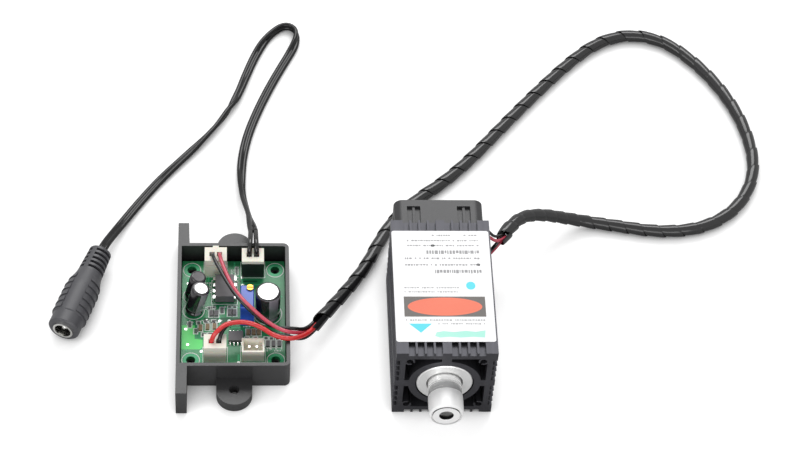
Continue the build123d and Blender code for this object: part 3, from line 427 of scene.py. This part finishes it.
tray_plastic = moulded("tray_plastic", "363637", "2b2b2c", 0.34, 600, 0.00008, 0.3)
fan_plastic = moulded("fan_plastic", "2f2f31", "262628", 0.38)
black_plastic = moulded("black_plastic", "262627", "1d1d1e", 0.36)
socket_plastic = moulded("socket_plastic", "4d4d51", "404044", 0.4, 500, 0.00005, 0.25)
nylon = moulded("white_nylon", "f4f1e6", "eae6d6", 0.4, 500, 0.00003, 0.15, Subsurface_Weight=0.15,
                Subsurface_Scale=0.0008)
chip_epoxy = moulded("chip_epoxy", "6a686a", "5b595b", 0.5, 1200, 0.00003, 0.5)
trimmer_blue = moulded("trimmer_blue", "2a59cc", "1f48ae", 0.28, 400, 0.00003, 0.15, Coat_Weight=0.2)
fan_board_green = moulded("fan_board_green", "17663b", "0f4f2c", 0.4)
ceramic = moulded("ceramic", "9b8566", "7f6a4e", 0.5, 900)
red_sleeve = moulded("red_sleeve", "e23a3b", "d02a2e", 0.1, 300, 0.00003, 0.12)
pink_sleeve = moulded("faded_red_sleeve", "d8566a", "c44156", 0.14, 300, 0.00003, 0.12)
black_sleeve = moulded("black_sleeve", "1c1c1c", "101010", 0.08, 300, 0.00003, 0.12)
lead_black = moulded("lead_black", "131315", "09090b", 0.07, 240, 0.00004, 0.15, Specular_IOR_Level=0.3)
wrap_black = moulded("wrap_black", "222223", "161617", 0.13, 260, 0.00005, 0.2)
magnet_grey = moulded("magnet_grey", "3c3a38", "2b2928", 0.6, 1500)
print(len(bpy.data.materials), "metals and plastics")


# %% Glass
def glass():
    finish = Finish("lens_glass", Transmission_Weight=1, IOR=1.52, Coat_Weight=0.4)
    dust = finish.noise(900, 4)
    return finish.paint(Base_Color=finish.mix(dust, colour("e9eef7"), colour("dfe8f4")),
                        Roughness=0.01 + dust * 0.03)


lens_glass = glass()
print("lens glass ready")

# %% [markdown]
# ## The harness wrap
#
# The real wrap is a plastic ribbon wound round the four wires, each turn lapping a little over the one
# before it. A smooth tube would lose the seams that run down it in the photograph. So the ribbon's own
# cross-section is carried round and along the spline together, one slanted step for each turn.

# %% Wrap
def even_line(line, step):
    spots, rest = [line[0]], step
    for a, b in zip(line, line[1:]):
        run = (b - a).length
        while rest <= run:
            spots.append(a.lerp(b, rest / run))
            rest += step
        rest -= run
    if (line[-1] - spots[-1]).length > step / 4:
        spots.append(line[-1])
    return spots


WRAP_STEPS = 26
SNUG_PITCH, ADDED_PITCH, PITCH_START, PITCH_RUN = 5.2, 2.6, 35 * MM, 70 * MM
RIBBON_PITCH = 5.1 * MM
WRAP_START, WRAP_SPARE = 2.6 * MM, 3.9 * MM
FLARE, FLARE_RUN = 0.28, 14 * MM
ribbon = [(-2.75, 1.78), (-2.6, 1.85), (-1.4, 2.01), (0, 2.13), (1.5, 2.23), (2.5, 2.27), (2.72, 2.22),
          (2.72, 2.06), (1.5, 1.9), (0, 1.78), (-2.6, 1.62)]
wrap_line = line_of(wrap_points)
wrap_length = length_of(wrap_line)
grid = 0.5 * MM
rings = frames_along(even_line(wrap_line, grid))


def wrap_corner(along, angle, reach):
    at = min(max(along / grid, 0), len(rings) - 1.001)
    low = int(at)
    blend = at - low
    spot = rings[low][0].lerp(rings[low + 1][0], blend)
    side = rings[low][2].lerp(rings[low + 1][2], blend)
    over = rings[low][3].lerp(rings[low + 1][3], blend)
    return spot + (side * math.cos(angle) + over * math.sin(angle)) * reach


def pitch_at(along):
    share = min(max((along - PITCH_START) / PITCH_RUN, 0), 1)
    return (SNUG_PITCH + ADDED_PITCH * share) * MM


corners, middle, steps = [], WRAP_START, 0
while middle < wrap_length - WRAP_SPARE:
    angle, wide = 2 * math.pi * steps / WRAP_STEPS, pitch_at(middle) / RIBBON_PITCH
    flare = 1 + FLARE * max(0, 1 - middle / FLARE_RUN) ** 1.5
    corners += [wrap_corner(middle + across * wide * MM, angle, reach * flare * MM)
                for across, reach in ribbon]
    middle += pitch_at(middle) / WRAP_STEPS
    steps += 1
print("wrap:", round(wrap_length * 1000, 1), "mm long,", round(steps / WRAP_STEPS, 1), "turns")

# %% The wrap takes its place
wrap = mesh_piece("harness_ribbon", corners, tube_faces(steps, len(ribbon)), [wrap_black], smooth=True)
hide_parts("harness_wrap")

# %% [markdown]
# ## The flat twin lead and the single wires
#
# The power lead is two round cores joined side by side, so its section is a figure of eight, kept flat on
# the table or turned on edge where it twists. The single wires are a round section carried along their
# splines: the laser pair is thicker and brighter, the fan pair thinner, and its red is paler.

# %% Twin lead
lead_line = line_of(dc_lead_points)
lead_length = length_of(lead_line)
CORE, APART = 0.85, 0.85
LEAD_STEP = 1.2
LIFT_START, LIFT_RUN = 12, 12
outline = []
for centre, first in ((APART, -140), (-APART, 40)):
    for turn in range(15):
        angle = math.radians(first + turn * 20)
        outline.append(((centre + CORE * math.cos(angle)) * MM, CORE * math.sin(angle) * MM))
TWISTS = [(0, 0), (15, 74), (30, 62), (44, 20), (62, 4), (98, 0), (113, 84), (121, 104), (138, 176),
          (156, 200), (166, 264), (176, 240), (190, 204), (210, 186), (232, 180), (260, 180)]


def twist_at(along):
    for (start, first), (end, second) in zip(TWISTS, TWISTS[1:]):
        if along <= end:
            share = (along - start) / (end - start)
            return math.radians(first + (second - first) * share * share * (3 - 2 * share))
    return 0.0


def twisted_lead(line):
    corners = []
    for index, (spot, _, side, over) in enumerate(frames_along(line, (0, 0, 1))):
        twist = twist_at(index * LEAD_STEP)
        raised = min(1, max(0, (index * LEAD_STEP - LIFT_START) / LIFT_RUN))
        lift = Vector((0, 0, raised * APART * abs(math.sin(twist)) * MM))
        for across, high in outline:
            x = across * math.cos(twist) - high * math.sin(twist)
            y = across * math.sin(twist) + high * math.cos(twist)
            corners.append(spot + lift + side * x + over * y)
    return corners, tube_faces(len(line), len(outline))


lead = mesh_piece("twin_lead", *twisted_lead(even_line(lead_line, LEAD_STEP * MM)), [lead_black],
                  smooth=True)
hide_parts("dc_lead")
print("twin lead:", round(lead_length * 1000, 1), "mm long")

# %% Sleeves
WIRE_STEP, SHORTEST_CORD = 0.4 * MM, 30 * MM


def round_section(radius, steps=14):
    turns = [2 * math.pi * step / steps for step in range(steps)]
    return [(radius * math.cos(turn), radius * math.sin(turn)) for turn in turns]


for name, (points, line, thick) in wires.items():
    sleeve = black_sleeve
    if "red" in name:
        sleeve = red_sleeve if name.startswith("laser") else pink_sleeve
    parts = sweep(round_section(thick / 2 * MM), even_line(line, WIRE_STEP))
    wire = mesh_piece(name + "_sleeve", *parts, [sleeve], smooth=True)
    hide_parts(name)
    "red_rubber" if "red" in name else "black_rubber"
    if length_of(line) > SHORTEST_CORD:
        round(length_of(line), 4)
        thick * MM
print(len(wires), "wires sleeved")

# %% [markdown]
# ## The studio
#
# The object stands on white paper between three soft lamps, and the paper runs out to plain white. The
# floor is nearly white, and what the camera and the reflections see of it gets some light of its own,
# which lets the open floor reach white. Near the object that glow fades with ambient occlusion. This is a
# painted contact shadow added to the soft shadows the lamps cast. The sky is white to look at, and dimmer
# where it only lights things.

# %% Floor, world and lamps
def studio_floor():
    finish = Finish("paper", Roughness=0.9)
    straight, mirrored, through = [finish.node("LightPath", out=which) for which in (0, 4, 6)]
    seen = straight * 0.4 + through * 0.4 + mirrored
    open_sky = finish.node("AmbientOcclusion", {"samples": 8}, {"Distance": 0.01}, out=1)
    grain = finish.noise(40, 3)
    finish.shader.inputs["Emission Strength"].default_value = 1.5
    # The floor's glow fades where ambient occlusion finds things close by: a painted contact shadow on the
    # paper.
    glow_with_painted_shadow = seen * finish.ease(open_sky, 0.1, 0.9)
    return finish.paint(Base_Color=finish.mix(grain, colour("d4d4d4"), colour("d9d9d9")),
                        Emission_Color=finish.mix(glow_with_painted_shadow, colour("000000"), colour("ffffff")))


bpy.ops.mesh.primitive_plane_add(size=3, location=(-0.03, 0.1, -0.0002))
floor = bpy.context.object
floor.name = "paper_floor"
floor.data.materials.append(studio_floor())

world = bpy.data.worlds.new("studio")
scene.world = world
world.use_nodes = True
sky = world.node_tree
background = sky.nodes["Background"]
path = sky.nodes.new("ShaderNodeLightPath")
glow = sky.nodes.new("ShaderNodeMapRange")
sky.links.new(path.outputs["Is Diffuse Ray"], glow.inputs["Value"])
glow.inputs["To Min"].default_value = 1
glow.inputs["To Max"].default_value = 0.42
sky.links.new(glow.outputs["Result"], background.inputs["Strength"])
background.inputs["Color"].default_value = (1, 1, 1, 1)


def softbox(name, place, aim, width, height, power):
    light = bpy.data.lights.new(name, "AREA")
    light.shape, light.size, light.size_y, light.energy = "RECTANGLE", width, height, power
    lamp = bpy.data.objects.new(name, light)
    lamp.location = place
    lamp.rotation_euler = (Vector(aim) - Vector(place)).to_track_quat("-Z", "Y").to_euler()
    scene.collection.objects.link(lamp)
    print(name, "at", place)


softbox("behind", (0.02, 0.9, 1.05), (-0.03, 0.04, 0), 1.0, 0.6, 10.5)
softbox("left_front", (-0.9, -0.45, 0.8), (-0.05, 0, 0), 0.5, 0.5, 2.6)
softbox("front", (-0.05, -1.1, 0.5), (-0.03, 0.03, 0.01), 1.2, 0.5, 5)
scene.view_settings.view_transform = "Standard"

# %% [markdown]
# ## Finishes on the CAD nodes
#
# Most solids already have the right shape, so they only take a finish. A node's mesh may hold one plain
# material from the CAD model, and this swaps it.

# %% Dress the nodes
dressing = {
    anodised_black: ["heatsink"],
    silver: ["adapter_sleeve", "module_body", "lens_barrel"],
    satin_silver: ["focus_cap"],
    nickel: ["dc_socket_shell", "dc_socket_pin", "header_pins", "driver_chip_legs", "small_chip_legs",
             "plug_contacts"],
    steel: ["sleeve_grub_screw", "focus_spring", "fan_shaft"],
    blackened: ["fan_screws"],
    brass: ["diode_ring", "lens_ring", "diode_can", "trimmer_screw"],
    bronze: ["fan_bearing"],
    copper: ["fan_coils"],
    lens_glass: ["lens"],
    fan_plastic: ["fan_frame", "fan_rotor"],
    magnet_grey: ["fan_magnet", "fan_stator"],
    fan_board_green: ["fan_board", "circuit_board"],
    tray_plastic: ["driver_tray"],
    nylon: ["fan_header", "laser_header", "spare_header", "fan_plug", "power_plug", "laser_plug"],
    black_plastic: ["power_header", "dc_socket_insulator"],
    socket_plastic: ["dc_socket_body"],
    chip_epoxy: ["driver_chip", "small_chip", "chip_resistors"],
    ceramic: ["chip_capacitors"],
    trimmer_blue: ["trimmer_body"],
    black_sleeve: ["big_capacitor", "front_capacitor", "rear_capacitor"],
}
for finish, names in dressing.items():
    for name in names:
        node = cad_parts[name]
        node.data.materials.clear()
        node.data.materials.append(finish)
print(sum(len(names) for names in dressing.values()), "nodes dressed")

# %% [markdown]
# ## The label
#
# A thin white vinyl sticker covers most of the top. Its print is kept as plain fields of colour: a dark
# panel with an orange oval, a blue dot and triangle, a pale green patch, and rows of fine grey dashes
# where a maker puts small type. Printed shapes are made as very thin prisms, so they are real faces.

# %% Flat shapes
def prisms(shapes, low, high):
    corners, faces = [], []
    for shape in shapes:
        start, count = len(corners), len(shape)
        corners += [(x * MM, y * MM, low * MM) for x, y in shape]
        corners += [(x * MM, y * MM, high * MM) for x, y in shape]
        faces.append(tuple(range(start + count - 1, start - 1, -1)))
        faces.append(tuple(range(start + count, start + 2 * count)))
        for point in range(count):
            after = (point + 1) % count
            faces.append((start + point, start + after, start + count + after, start + count + point))
    return corners, faces


def oblong(left, right, front, rear, corner=0.0, steps=4):
    if not corner:
        return [(left, front), (right, front), (right, rear), (left, rear)]
    shape = []
    for x, y, first in ((right - corner, rear - corner, 0), (left + corner, rear - corner, 90),
                        (left + corner, front + corner, 180), (right - corner, front + corner, 270)):
        for step in range(steps + 1):
            angle = math.radians(first + 90 * step / steps)
            shape.append((x + corner * math.cos(angle), y + corner * math.sin(angle)))
    return shape


def oval(x, y, wide, deep, steps=40):
    turns = [2 * math.pi * step / steps for step in range(steps)]
    return [(x + wide * math.cos(turn), y + deep * math.sin(turn)) for turn in turns]


def printed(name, shapes, low, high, ink):
    return mesh_piece(name, *prisms(shapes, low, high), [ink])


# %% Label sheet
def vinyl():
    finish = Finish("label_vinyl", Coat_Weight=0.25, Coat_Roughness=0.2)
    cloud = finish.noise(70, 3)
    return finish.paint(Base_Color=finish.mix(cloud, colour("efeff1"), colour("f6f6f6")),
                        Roughness=0.34 + cloud * 0.1, Normal=finish.bump(cloud, 0.2, 0.00015))


def ink(name, light, dark):
    return moulded(name, light, dark, 0.36, 500, 0.00002, 0.1)


HEAD_TOP, SHEET_TOP = 33.0, 33.12
sheet = printed("label_sheet", [oblong(-16.45, 16.0, -22.85, 22.85, 0.8)], HEAD_TOP, SHEET_TOP, vinyl())
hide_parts("head_label")
panel_ink, oval_ink = ink("panel_ink", "5b5550", "4d4844"), ink("oval_ink", "f0704a", "e8633e")
blue_ink, mint_ink = ink("blue_ink", "4fe0ee", "3fd6e8"), ink("mint_ink", "b4f1e1", "a2ebd8")
grey_ink = ink("grey_ink", "9a9a9c", "88888a")
INK_LOW, INK_HIGH = 33.115, 33.13
for name, shapes, colouring in (
        ("print_panel", [oblong(-13.4, 13.3, -12.8, -4.6)], panel_ink),
        ("print_blue", [oval(8.9, -0.1, 1.55, 1.65), [(-12.1, -15.6), (-4.6, -15.6), (-8.3, -19.3)]],
         blue_ink),
        ("print_mint", [[(-3.8, -20.6), (-2.2, -21.2), (1.0, -20.9), (4.6, -21.2), (8.6, -20.9),
                         (12.4, -21.2), (12.7, -18.3), (9.6, -18.9), (6.2, -18.5), (2.4, -19.0),
                         (-1.0, -18.6), (-3.2, -19.1)]], mint_ink)):
    printed(name, shapes, INK_LOW, INK_HIGH, colouring)
printed("print_oval", [oval(0, -8.7, 12.2, 3.7, 64)], INK_LOW, 33.138, oval_ink)

# %% Rows of dashes
random.seed(5)
dashes = []
for y, left, right, tall, widest in (
        (20.9, -3.0, 3.0, 0.6, 0.8), (20.9, 7.6, 12.4, 0.6, 0.8), (18.7, -11.4, 12.4, 0.6, 0.9),
        (16.6, -11.4, 12.4, 0.6, 0.9), (13.8, -5.1, 12.6, 1.5, 1.1), (11.2, -12.4, 12.4, 0.7, 0.9),
        (8.5, -12.4, 12.4, 0.7, 0.9), (5.7, -2.6, 12.8, 1.5, 1.1), (-1.0, -13.0, 4.9, 0.5, 0.8),
        (-2.7, -13.0, 4.9, 0.5, 0.8), (-14.2, -13.0, 12.9, 0.5, 0.8), (-15.7, -2.5, 12.9, 0.5, 0.8)):
    x = left
    while x < right - 0.3:
        wide = min(random.uniform(0.3, widest), right - x)
        dashes.append(oblong(x, x + wide, y - tall / 2 * random.uniform(0.5, 1), y + tall / 2))
        x += wide + random.choice((0.22, 0.25, 0.3, 0.3, 1.0 if tall < 1 else 0.35))
dashes += [oval(-2.9, 16.6, 0.6, 0.6, 12), oval(11.9, 8.6, 0.6, 0.6, 12)]
printed("print_dashes", dashes, INK_LOW, INK_HIGH, grey_ink)
print(len(dashes), "dashes on the label")

# %% [markdown]
# ## The nozzle
#
# The silver nozzle is turned: a plain neck, then the focus cap, whose side carries a very fine straight
# knurl so that fingers can turn it, and whose flat front has one shallow ring cut round the aperture. The
# cap is spun from its profile, and the knurl is a ripple on every second spoke.

# %% Focus cap
cap_low, cap_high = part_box("focus_cap")
CAP_FRONT, CAP_REAR = -cap_low.y * 1000, -cap_high.y * 1000
CAP_RADIUS, APERTURE = (cap_high.x - cap_low.x) * 500, 2.35
AXIS_HIGH = 16.5
print("cap from", round(CAP_REAR, 2), "to", round(CAP_FRONT, 2), "radius", round(CAP_RADIUS, 2))


def cap_profile():
    edge, groove = 0.75, 4.95
    points = [(5.3, CAP_REAR), (CAP_RADIUS - 0.25, CAP_REAR), (CAP_RADIUS - 0.05, CAP_REAR + 0.2),
              (CAP_RADIUS - 0.05, CAP_REAR + 0.7)]
    points += [(CAP_RADIUS, CAP_REAR + 0.9), (CAP_RADIUS, CAP_FRONT - edge - 0.5)]
    points += [(CAP_RADIUS - 0.05, CAP_FRONT - edge - 0.3)]
    for step in range(7):
        angle = math.radians(90 * step / 6)
        points.append((CAP_RADIUS - 0.05 - (edge - 0.05) * (1 - math.cos(angle)),
                       CAP_FRONT - edge + edge * math.sin(angle)))
    points += [(groove, CAP_FRONT), (groove - 0.02, CAP_FRONT - 0.5), (groove - 0.45, CAP_FRONT - 0.5),
               (groove - 0.5, CAP_FRONT)]
    points += [(APERTURE + 0.15, CAP_FRONT), (APERTURE, CAP_FRONT - 0.12), (APERTURE, CAP_FRONT - 1.2),
               (3.6, CAP_FRONT - 1.3), (4.4, CAP_FRONT - 1.35), (4.4, CAP_REAR), (5.3, CAP_REAR)]
    return [(radius * MM, along * MM) for radius, along in points]


def knurl(index, turn):
    return -0.06 * MM if index in (4, 5) and turn % 2 else 0.0


CAP_STEPS = 240
# The inner wall of the front ring cut and the bore behind the aperture take the dark steel finish. It is
# painted shade in the cut and in the bore.
PAINTED_SHADE_ROWS = (16, 19, 20, 21, 22)
profile = cap_profile()
cap_shade_marks = [int(row in PAINTED_SHADE_ROWS) for turn in range(CAP_STEPS) for row in range(len(profile) - 1)]
parts = spin(profile, (0, 0, AXIS_HIGH * MM), (0, -1, 0), CAP_STEPS, (0, 0, 1), knurl)
cap = mesh_piece("focus_cap_knurled", *parts, [satin_silver, blackened], "focus_knob", marks=cap_shade_marks,
                 smooth=True)
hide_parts("focus_cap")

# %% [markdown]
# ## The capacitors
#
# An electrolytic capacitor is an aluminium can in a shrunk plastic sleeve. The sleeve folds over the can's
# top edge and leaves the bright middle bare, scored across so that it can vent. The sleeve is glossy, so
# it shows long soft streaks of light. Each can is one spun profile with three finishes: the sleeve, its
# stripe and the bare top. The two small ones lean over a little, as they do in the photograph.

# %% Sleeved cans
def shrink_sleeve(name, light, dark):
    finish = Finish(name, Coat_Weight=0.5, Coat_Roughness=0.08)
    ripple = finish.noise(260, 3, (1, 1, 0.25))
    tone = finish.mix(ripple, colour(dark), colour(light))
    return finish.paint(Base_Color=tone, Roughness=0.16 + ripple * 0.1,
                        Normal=finish.bump(ripple, 0.35, 0.0002))


can_sleeve = shrink_sleeve("can_sleeve", "201c22", "131116")
can_stripe = shrink_sleeve("can_stripe", "8d8a92", "75727b")
can_top = turned_metal("can_top", "fbfbfb", "dededf", 0.3, 2, 900)
can_top_dull = moulded("can_top_dull", "6f6d70", "5b595c", 0.45)
BOARD_TOP = 5.0


def standing(node, lean):
    low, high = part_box(node)
    radius = (high.y - low.y) * 500
    turn = math.radians(lean)
    lift = radius * math.sin(turn)
    tall = (high.z * 1000 - BOARD_TOP - 2 * lift) / math.cos(turn)
    foot = Vector((low.x + radius * math.cos(turn) * MM, (low.y + high.y) / 2, (BOARD_TOP + lift) * MM))
    return radius, tall, Matrix.Translation(foot) @ Matrix.Rotation(turn, 4, "Y")


def placed(parts, place):
    return [place @ Vector(corner) for corner in parts[0]], parts[1]


def sleeved_can(node, top_finish, rim, lean):
    radius, tall, place = standing(node, lean)
    profile = [(0.01, 0), (radius - 0.45, 0), (radius - 0.12, 0.15), (radius, 0.5), (radius, 1.0),
               (radius - 0.18, 1.25), (radius - 0.34, 1.55), (radius - 0.18, 1.85), (radius, 2.15),
               (radius, tall - 0.75), (radius - 0.1, tall - 0.36), (radius - 0.34, tall - 0.1),
               (radius - 0.7, tall), (radius - rim, tall - 0.02), (radius - rim - 0.05, tall - 0.1),
               (radius - rim - 0.3, tall - 0.16), (0.01, tall - 0.16)]
    steps = 72
    upright = spin([(r * MM, z * MM) for r, z in profile], (0, 0, 0), (0, 0, 1), steps, (1, 0, 0))
    parts = placed(upright, place)
    marks = []
    for turn in range(steps):
        for row in range(len(profile) - 1):
            bare = row >= 13
            stripe = 55 <= turn <= 64 and 3 <= row <= 9
            marks.append(1 if bare else 2 if stripe else 0)
    can = mesh_piece(node + "_can", *parts, [can_sleeve, top_finish, can_stripe], marks=marks, smooth=True)
    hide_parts(node)
    return radius - rim, tall, place


for node, finish, rim, lean, cuts in (("big_capacitor", can_top, 0.75, 0, 2),
                                      ("front_capacitor", can_top, 0.85, 12, 3),
                                      ("rear_capacitor", can_top_dull, 0.7, 12, 3)):
    bare, tall, place = sleeved_can(node, finish, rim, lean)
    for step in range(cuts):
        angle = math.radians(35 + 180 / cuts * step)
        along = Vector((math.cos(angle), math.sin(angle)))
        over = Vector((-along.y, along.x))
        score = [tuple(along * a * bare * 0.75 + over * b)
                 for a, b in ((-1, -0.07), (1, -0.07), (1, 0.07), (-1, 0.07))]
        mesh_piece(node + "_vent_" + str(step),
                   *placed(prisms([score], tall - 0.17, tall - 0.12 + 0.005 * step), place), [can_top_dull])

# %% [markdown]
# ## The circuit board's face
#
# A board looks right when it is busy: lighter copper under the green mask, a pale field of bare ground,
# white outlines round each part, and bright solder where parts end. The mask is a finish, and the rest
# are prisms a few hundredths high. No letters are printed, so small blocks stand where they would be.

# %% Green mask
def solder_mask(name, light, dark, pale):
    finish = Finish(name, Coat_Weight=0.2, Coat_Roughness=0.15, Specular_IOR_Level=0.3)
    x, y, _ = finish.xyz()
    cloud = finish.noise(120, 3)
    weave = finish.noise(1600, 2)
    near_left = finish.ease(x, -70, -86)
    tone = finish.mix(cloud * 0.6 + near_left * 0.4, colour(dark), colour(light))
    tone = finish.mix(finish.ease(cloud, 0.55, 0.75) * 0.5, tone, colour(pale))
    return finish.paint(Base_Color=tone, Roughness=0.3 + cloud * 0.12,
                        Normal=finish.bump(weave, 0.2, 0.00004))


mask_green = solder_mask("mask_green", "35a466", "1c8150", "45b878")
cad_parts["circuit_board"].data.materials[0] = mask_green
pale_mask, track_mask, dark_mask = [
    moulded(name, light, dark, 0.3, 300, 0.00003, 0.15, Specular_IOR_Level=0.3)
    for name, light, dark in (("pale_mask", "75ff8a", "66f27b"), ("track_mask", "43c184", "33b074"),
                              ("dark_mask", "16643f", "0f5233"))]
silk_white = moulded("silk_white", "f6fbf6", "eaf4ec", 0.5, 400, 0.00002, 0.1)
solder = soft_metal("solder", "dcdcd8", "b4b4b0", 0.22, 900)
UNDER = BOARD_TOP - 0.01
HOLES = [(-83.1, -10.0), (-54.8, -10.0), (-83.1, 27.8), (-54.8, 27.8)]


def stroke(points, wide):
    shapes = []
    for (ax, ay), (bx, by) in zip(points, points[1:]):
        long = math.hypot(bx - ax, by - ay)
        sx, sy = (bx - ax) / long * wide / 2, (by - ay) / long * wide / 2
        shapes.append([(ax - sx + sy, ay - sy - sx), (bx + sx + sy, by + sy - sx),
                       (bx + sx - sy, by + sy + sx), (ax - sx - sy, ay - sy + sx)])
    return shapes


def framed(left, right, front, rear, wide=0.22):
    half = wide / 2
    return [oblong(left - half, right + half, front - half, front + half),
            oblong(left - half, right + half, rear - half, rear + half),
            oblong(left - half, left + half, front + half, rear - half),
            oblong(right - half, right + half, front + half, rear - half)]


def ring(x, y, inner, outer, first=0, last=360, steps=48):
    shapes = []
    count = max(3, int(steps * (last - first) / 360))
    for step in range(count):
        a = math.radians(first + (last - first) * step / count)
        b = math.radians(first + (last - first) * (step + 1) / count)
        shapes.append([(x + r * math.cos(t), y + r * math.sin(t))
                       for r, t in ((inner, a), (outer, a), (outer, b), (inner, b))])
    return shapes


# %% Copper, pads and holes
tracks = []
for points, wide in (
        ([(-84.6, -6.2), (-84.6, 5.0), (-83.0, 7.0)], 0.5),
        ([(-81.0, -12.6), (-79.6, -11.2), (-79.6, -5.0)], 0.6),
        ([(-70.0, -12.9), (-67.2, -12.9), (-67.2, -8.0)], 0.7),
        ([(-66.6, 25.0), (-68.6, 27.0), (-68.6, 30.8)], 0.6),
        ([(-66.0, 20.0), (-66.0, 24.0)], 0.5), ([(-59.0, 18.0), (-54.0, 18.0), (-52.6, 16.4)], 0.5),
        ([(-53.0, 3.0), (-53.0, -6.0)], 0.5), ([(-79.0, 21.0), (-77.4, 22.6), (-77.4, 25.0)], 0.5),
        ([(-73.6, 5.0), (-73.6, 8.0)], 0.4), ([(-66.8, 3.4), (-70.0, 3.4), (-71.2, 4.6)], 0.5),
        ([(-59.4, -12.4), (-57.0, -12.4)], 0.6), ([(-84.4, 20.6), (-84.4, 24.4)], 0.5),
        ([(-61.8, 21.6), (-56.8, 21.6), (-55.4, 20.2)], 0.5), ([(-72.8, 11.8), (-67.2, 11.8)], 0.4)):
    tracks += stroke(points, wide)
printed("board_tracks", tracks, UNDER, 5.015, track_mask)
printed("board_pale_field", [[(-86.2, -5.6), (-80.2, -5.6), (-79.2, -4.6), (-79.2, -1.6), (-81.9, -1.2),
                              (-81.9, 4.4), (-86.2, 4.4)]], UNDER, 5.02, pale_mask)
printed("board_pale_corners", [piece for x, y in HOLES for piece in ring(x, y, 1.56, 2.7)], UNDER, 5.025,
        track_mask)
printed("board_dark_ground", [oblong(-79.0, -62.6, 4.9, 7.6, 0.5), oblong(-66.9, -60.8, 22.6, 23.4, 0.3)],
        UNDER, 5.012, dark_mask)
vias = [(-84.9, 2.8), (-84.2, -3.6), (-81.4, 6.0), (-77.9, 6.4), (-73.6, 6.2), (-70.4, 6.3), (-66.6, 6.0),
        (-66.0, 24.6), (-65.8, 21.4), (-59.2, 17.8), (-54.2, 17.9), (-52.9, -1.6), (-68.5, 24.9),
        (-78.9, 20.8), (-84.3, 22.0), (-57.0, 21.6), (-67.2, -11.0), (-70.2, -12.8), (-79.6, -6.4)]
printed("board_vias", [piece for x, y in vias for piece in ring(x, y, 0.22, 0.5, steps=16)], 5.012, 5.035,
        solder)

# %% White outlines
silk = [piece for x, y in HOLES for piece in ring(x, y, 2.8, 3.08)]
silk += ring(-57.4, 9.3, 4.6, 4.9) + ring(-82.35, 10.4, 3.4, 3.7, 110, 370)
silk += ring(-82.9, 16.6, 2.95, 3.2, 0, 250)
for edges in ((-66.5, -58.3, 24.5, 31.1), (-79.1, -70.9, -11.3, -4.7), (-66.5, -58.3, -11.0, -4.4),
              (-79.0, -71.0, 24.9, 31.4), (-76.3, -67.6, 13.2, 23.4)):
    silk += framed(*edges)
resistors = [(-76.4, 9.2), (-74.7, 9.2), (-70.2, 9.6), (-68.6, 9.6), (-57.4, -3.4), (-55.5, -3.4),
             (-53.6, -3.4)]
small_caps = [(-80.0, 3.2), (-77.6, 3.6), (-75.3, 3.8), (-64.0, 1.4), (-62.2, 1.4), (-60.4, 1.4)]
for x, y in resistors + small_caps:
    silk += framed(x - 0.82, x + 0.82, y - 1.45, y + 1.45, 0.34)
spots = [(-77.0, 11.7, 0.6, 0.5), (-75.6, 11.9, 0.6, 0.5), (-72.8, 10.6, 0.75, 1.4), (-70.3, 12.0, 0.7, 0.5),
         (-68.5, 12.0, 0.7, 0.5), (-83.6, 4.6, 0.75, 1.3), (-80.6, 5.4, 0.7, 0.7), (-78.2, 5.9, 0.8, 0.6),
         (-75.6, 6.1, 0.8, 0.6), (-81.6, 1.9, 0.7, 1.1), (-78.8, 0.4, 0.9, 0.8), (-76.6, 0.6, 0.9, 0.8),
         (-74.6, 0.8, 0.7, 1.0), (-64.4, -0.9, 0.8, 0.5), (-61.6, -0.9, 0.8, 0.5), (-58.0, -1.0, 0.7, 0.6),
         (-56.2, -1.1, 0.7, 0.6), (-54.2, -1.1, 0.7, 0.6), (-79.9, 20.9, 0.6, 0.9), (-67.9, 27.4, 0.5, 1.7)]
for x, y, wide, deep in spots:
    silk += framed(x - wide, x + wide, y - deep, y + deep, 0.32)
printed("small_part_bodies", [oblong(x - wide + 0.3, x + wide - 0.3, y - deep + 0.28, y + deep - 0.28)
                              for x, y, wide, deep in spots], UNDER, 5.3, chip_epoxy)
random.seed(11)
for left, right, low, high in (
        (-78.6, -71.6, 10.9, 11.9), (-79.6, -72.6, 5.4, 6.4), (-65.6, -59.4, 3.6, 4.4),
        (-58.6, -52.6, -6.4, -5.4), (-69.9, -67.3, 24.4, 28.8), (-69.9, -67.2, 20.0, 23.6),
        (-84.8, -82.4, 4.6, 6.6), (-72.0, -67.0, 12.1, 12.8), (-79.0, -76.4, 18.0, 22.8)):
    y = low
    while y < high:
        x = left
        while x < right:
            wide = random.uniform(0.3, 0.9)
            if random.random() < 0.62:
                silk.append(oblong(x, min(x + wide, right), y, y + 0.42))
            x += wide + 0.3
        y += 0.8
printed("board_silk", silk, 5.014, 5.04, silk_white)

# %% Solder at the parts' ends
ends = []
for x, y in resistors + small_caps:
    for side in (-1, 1):
        ends.append(oblong(x - 0.52, x + 0.52, y + side * 0.85 - 0.22, y + side * 0.85 + 0.22, 0.1))
printed("part_ends", ends, UNDER, 5.4, solder)
print(len(silk), "white strokes,", len(ends), "soldered ends")
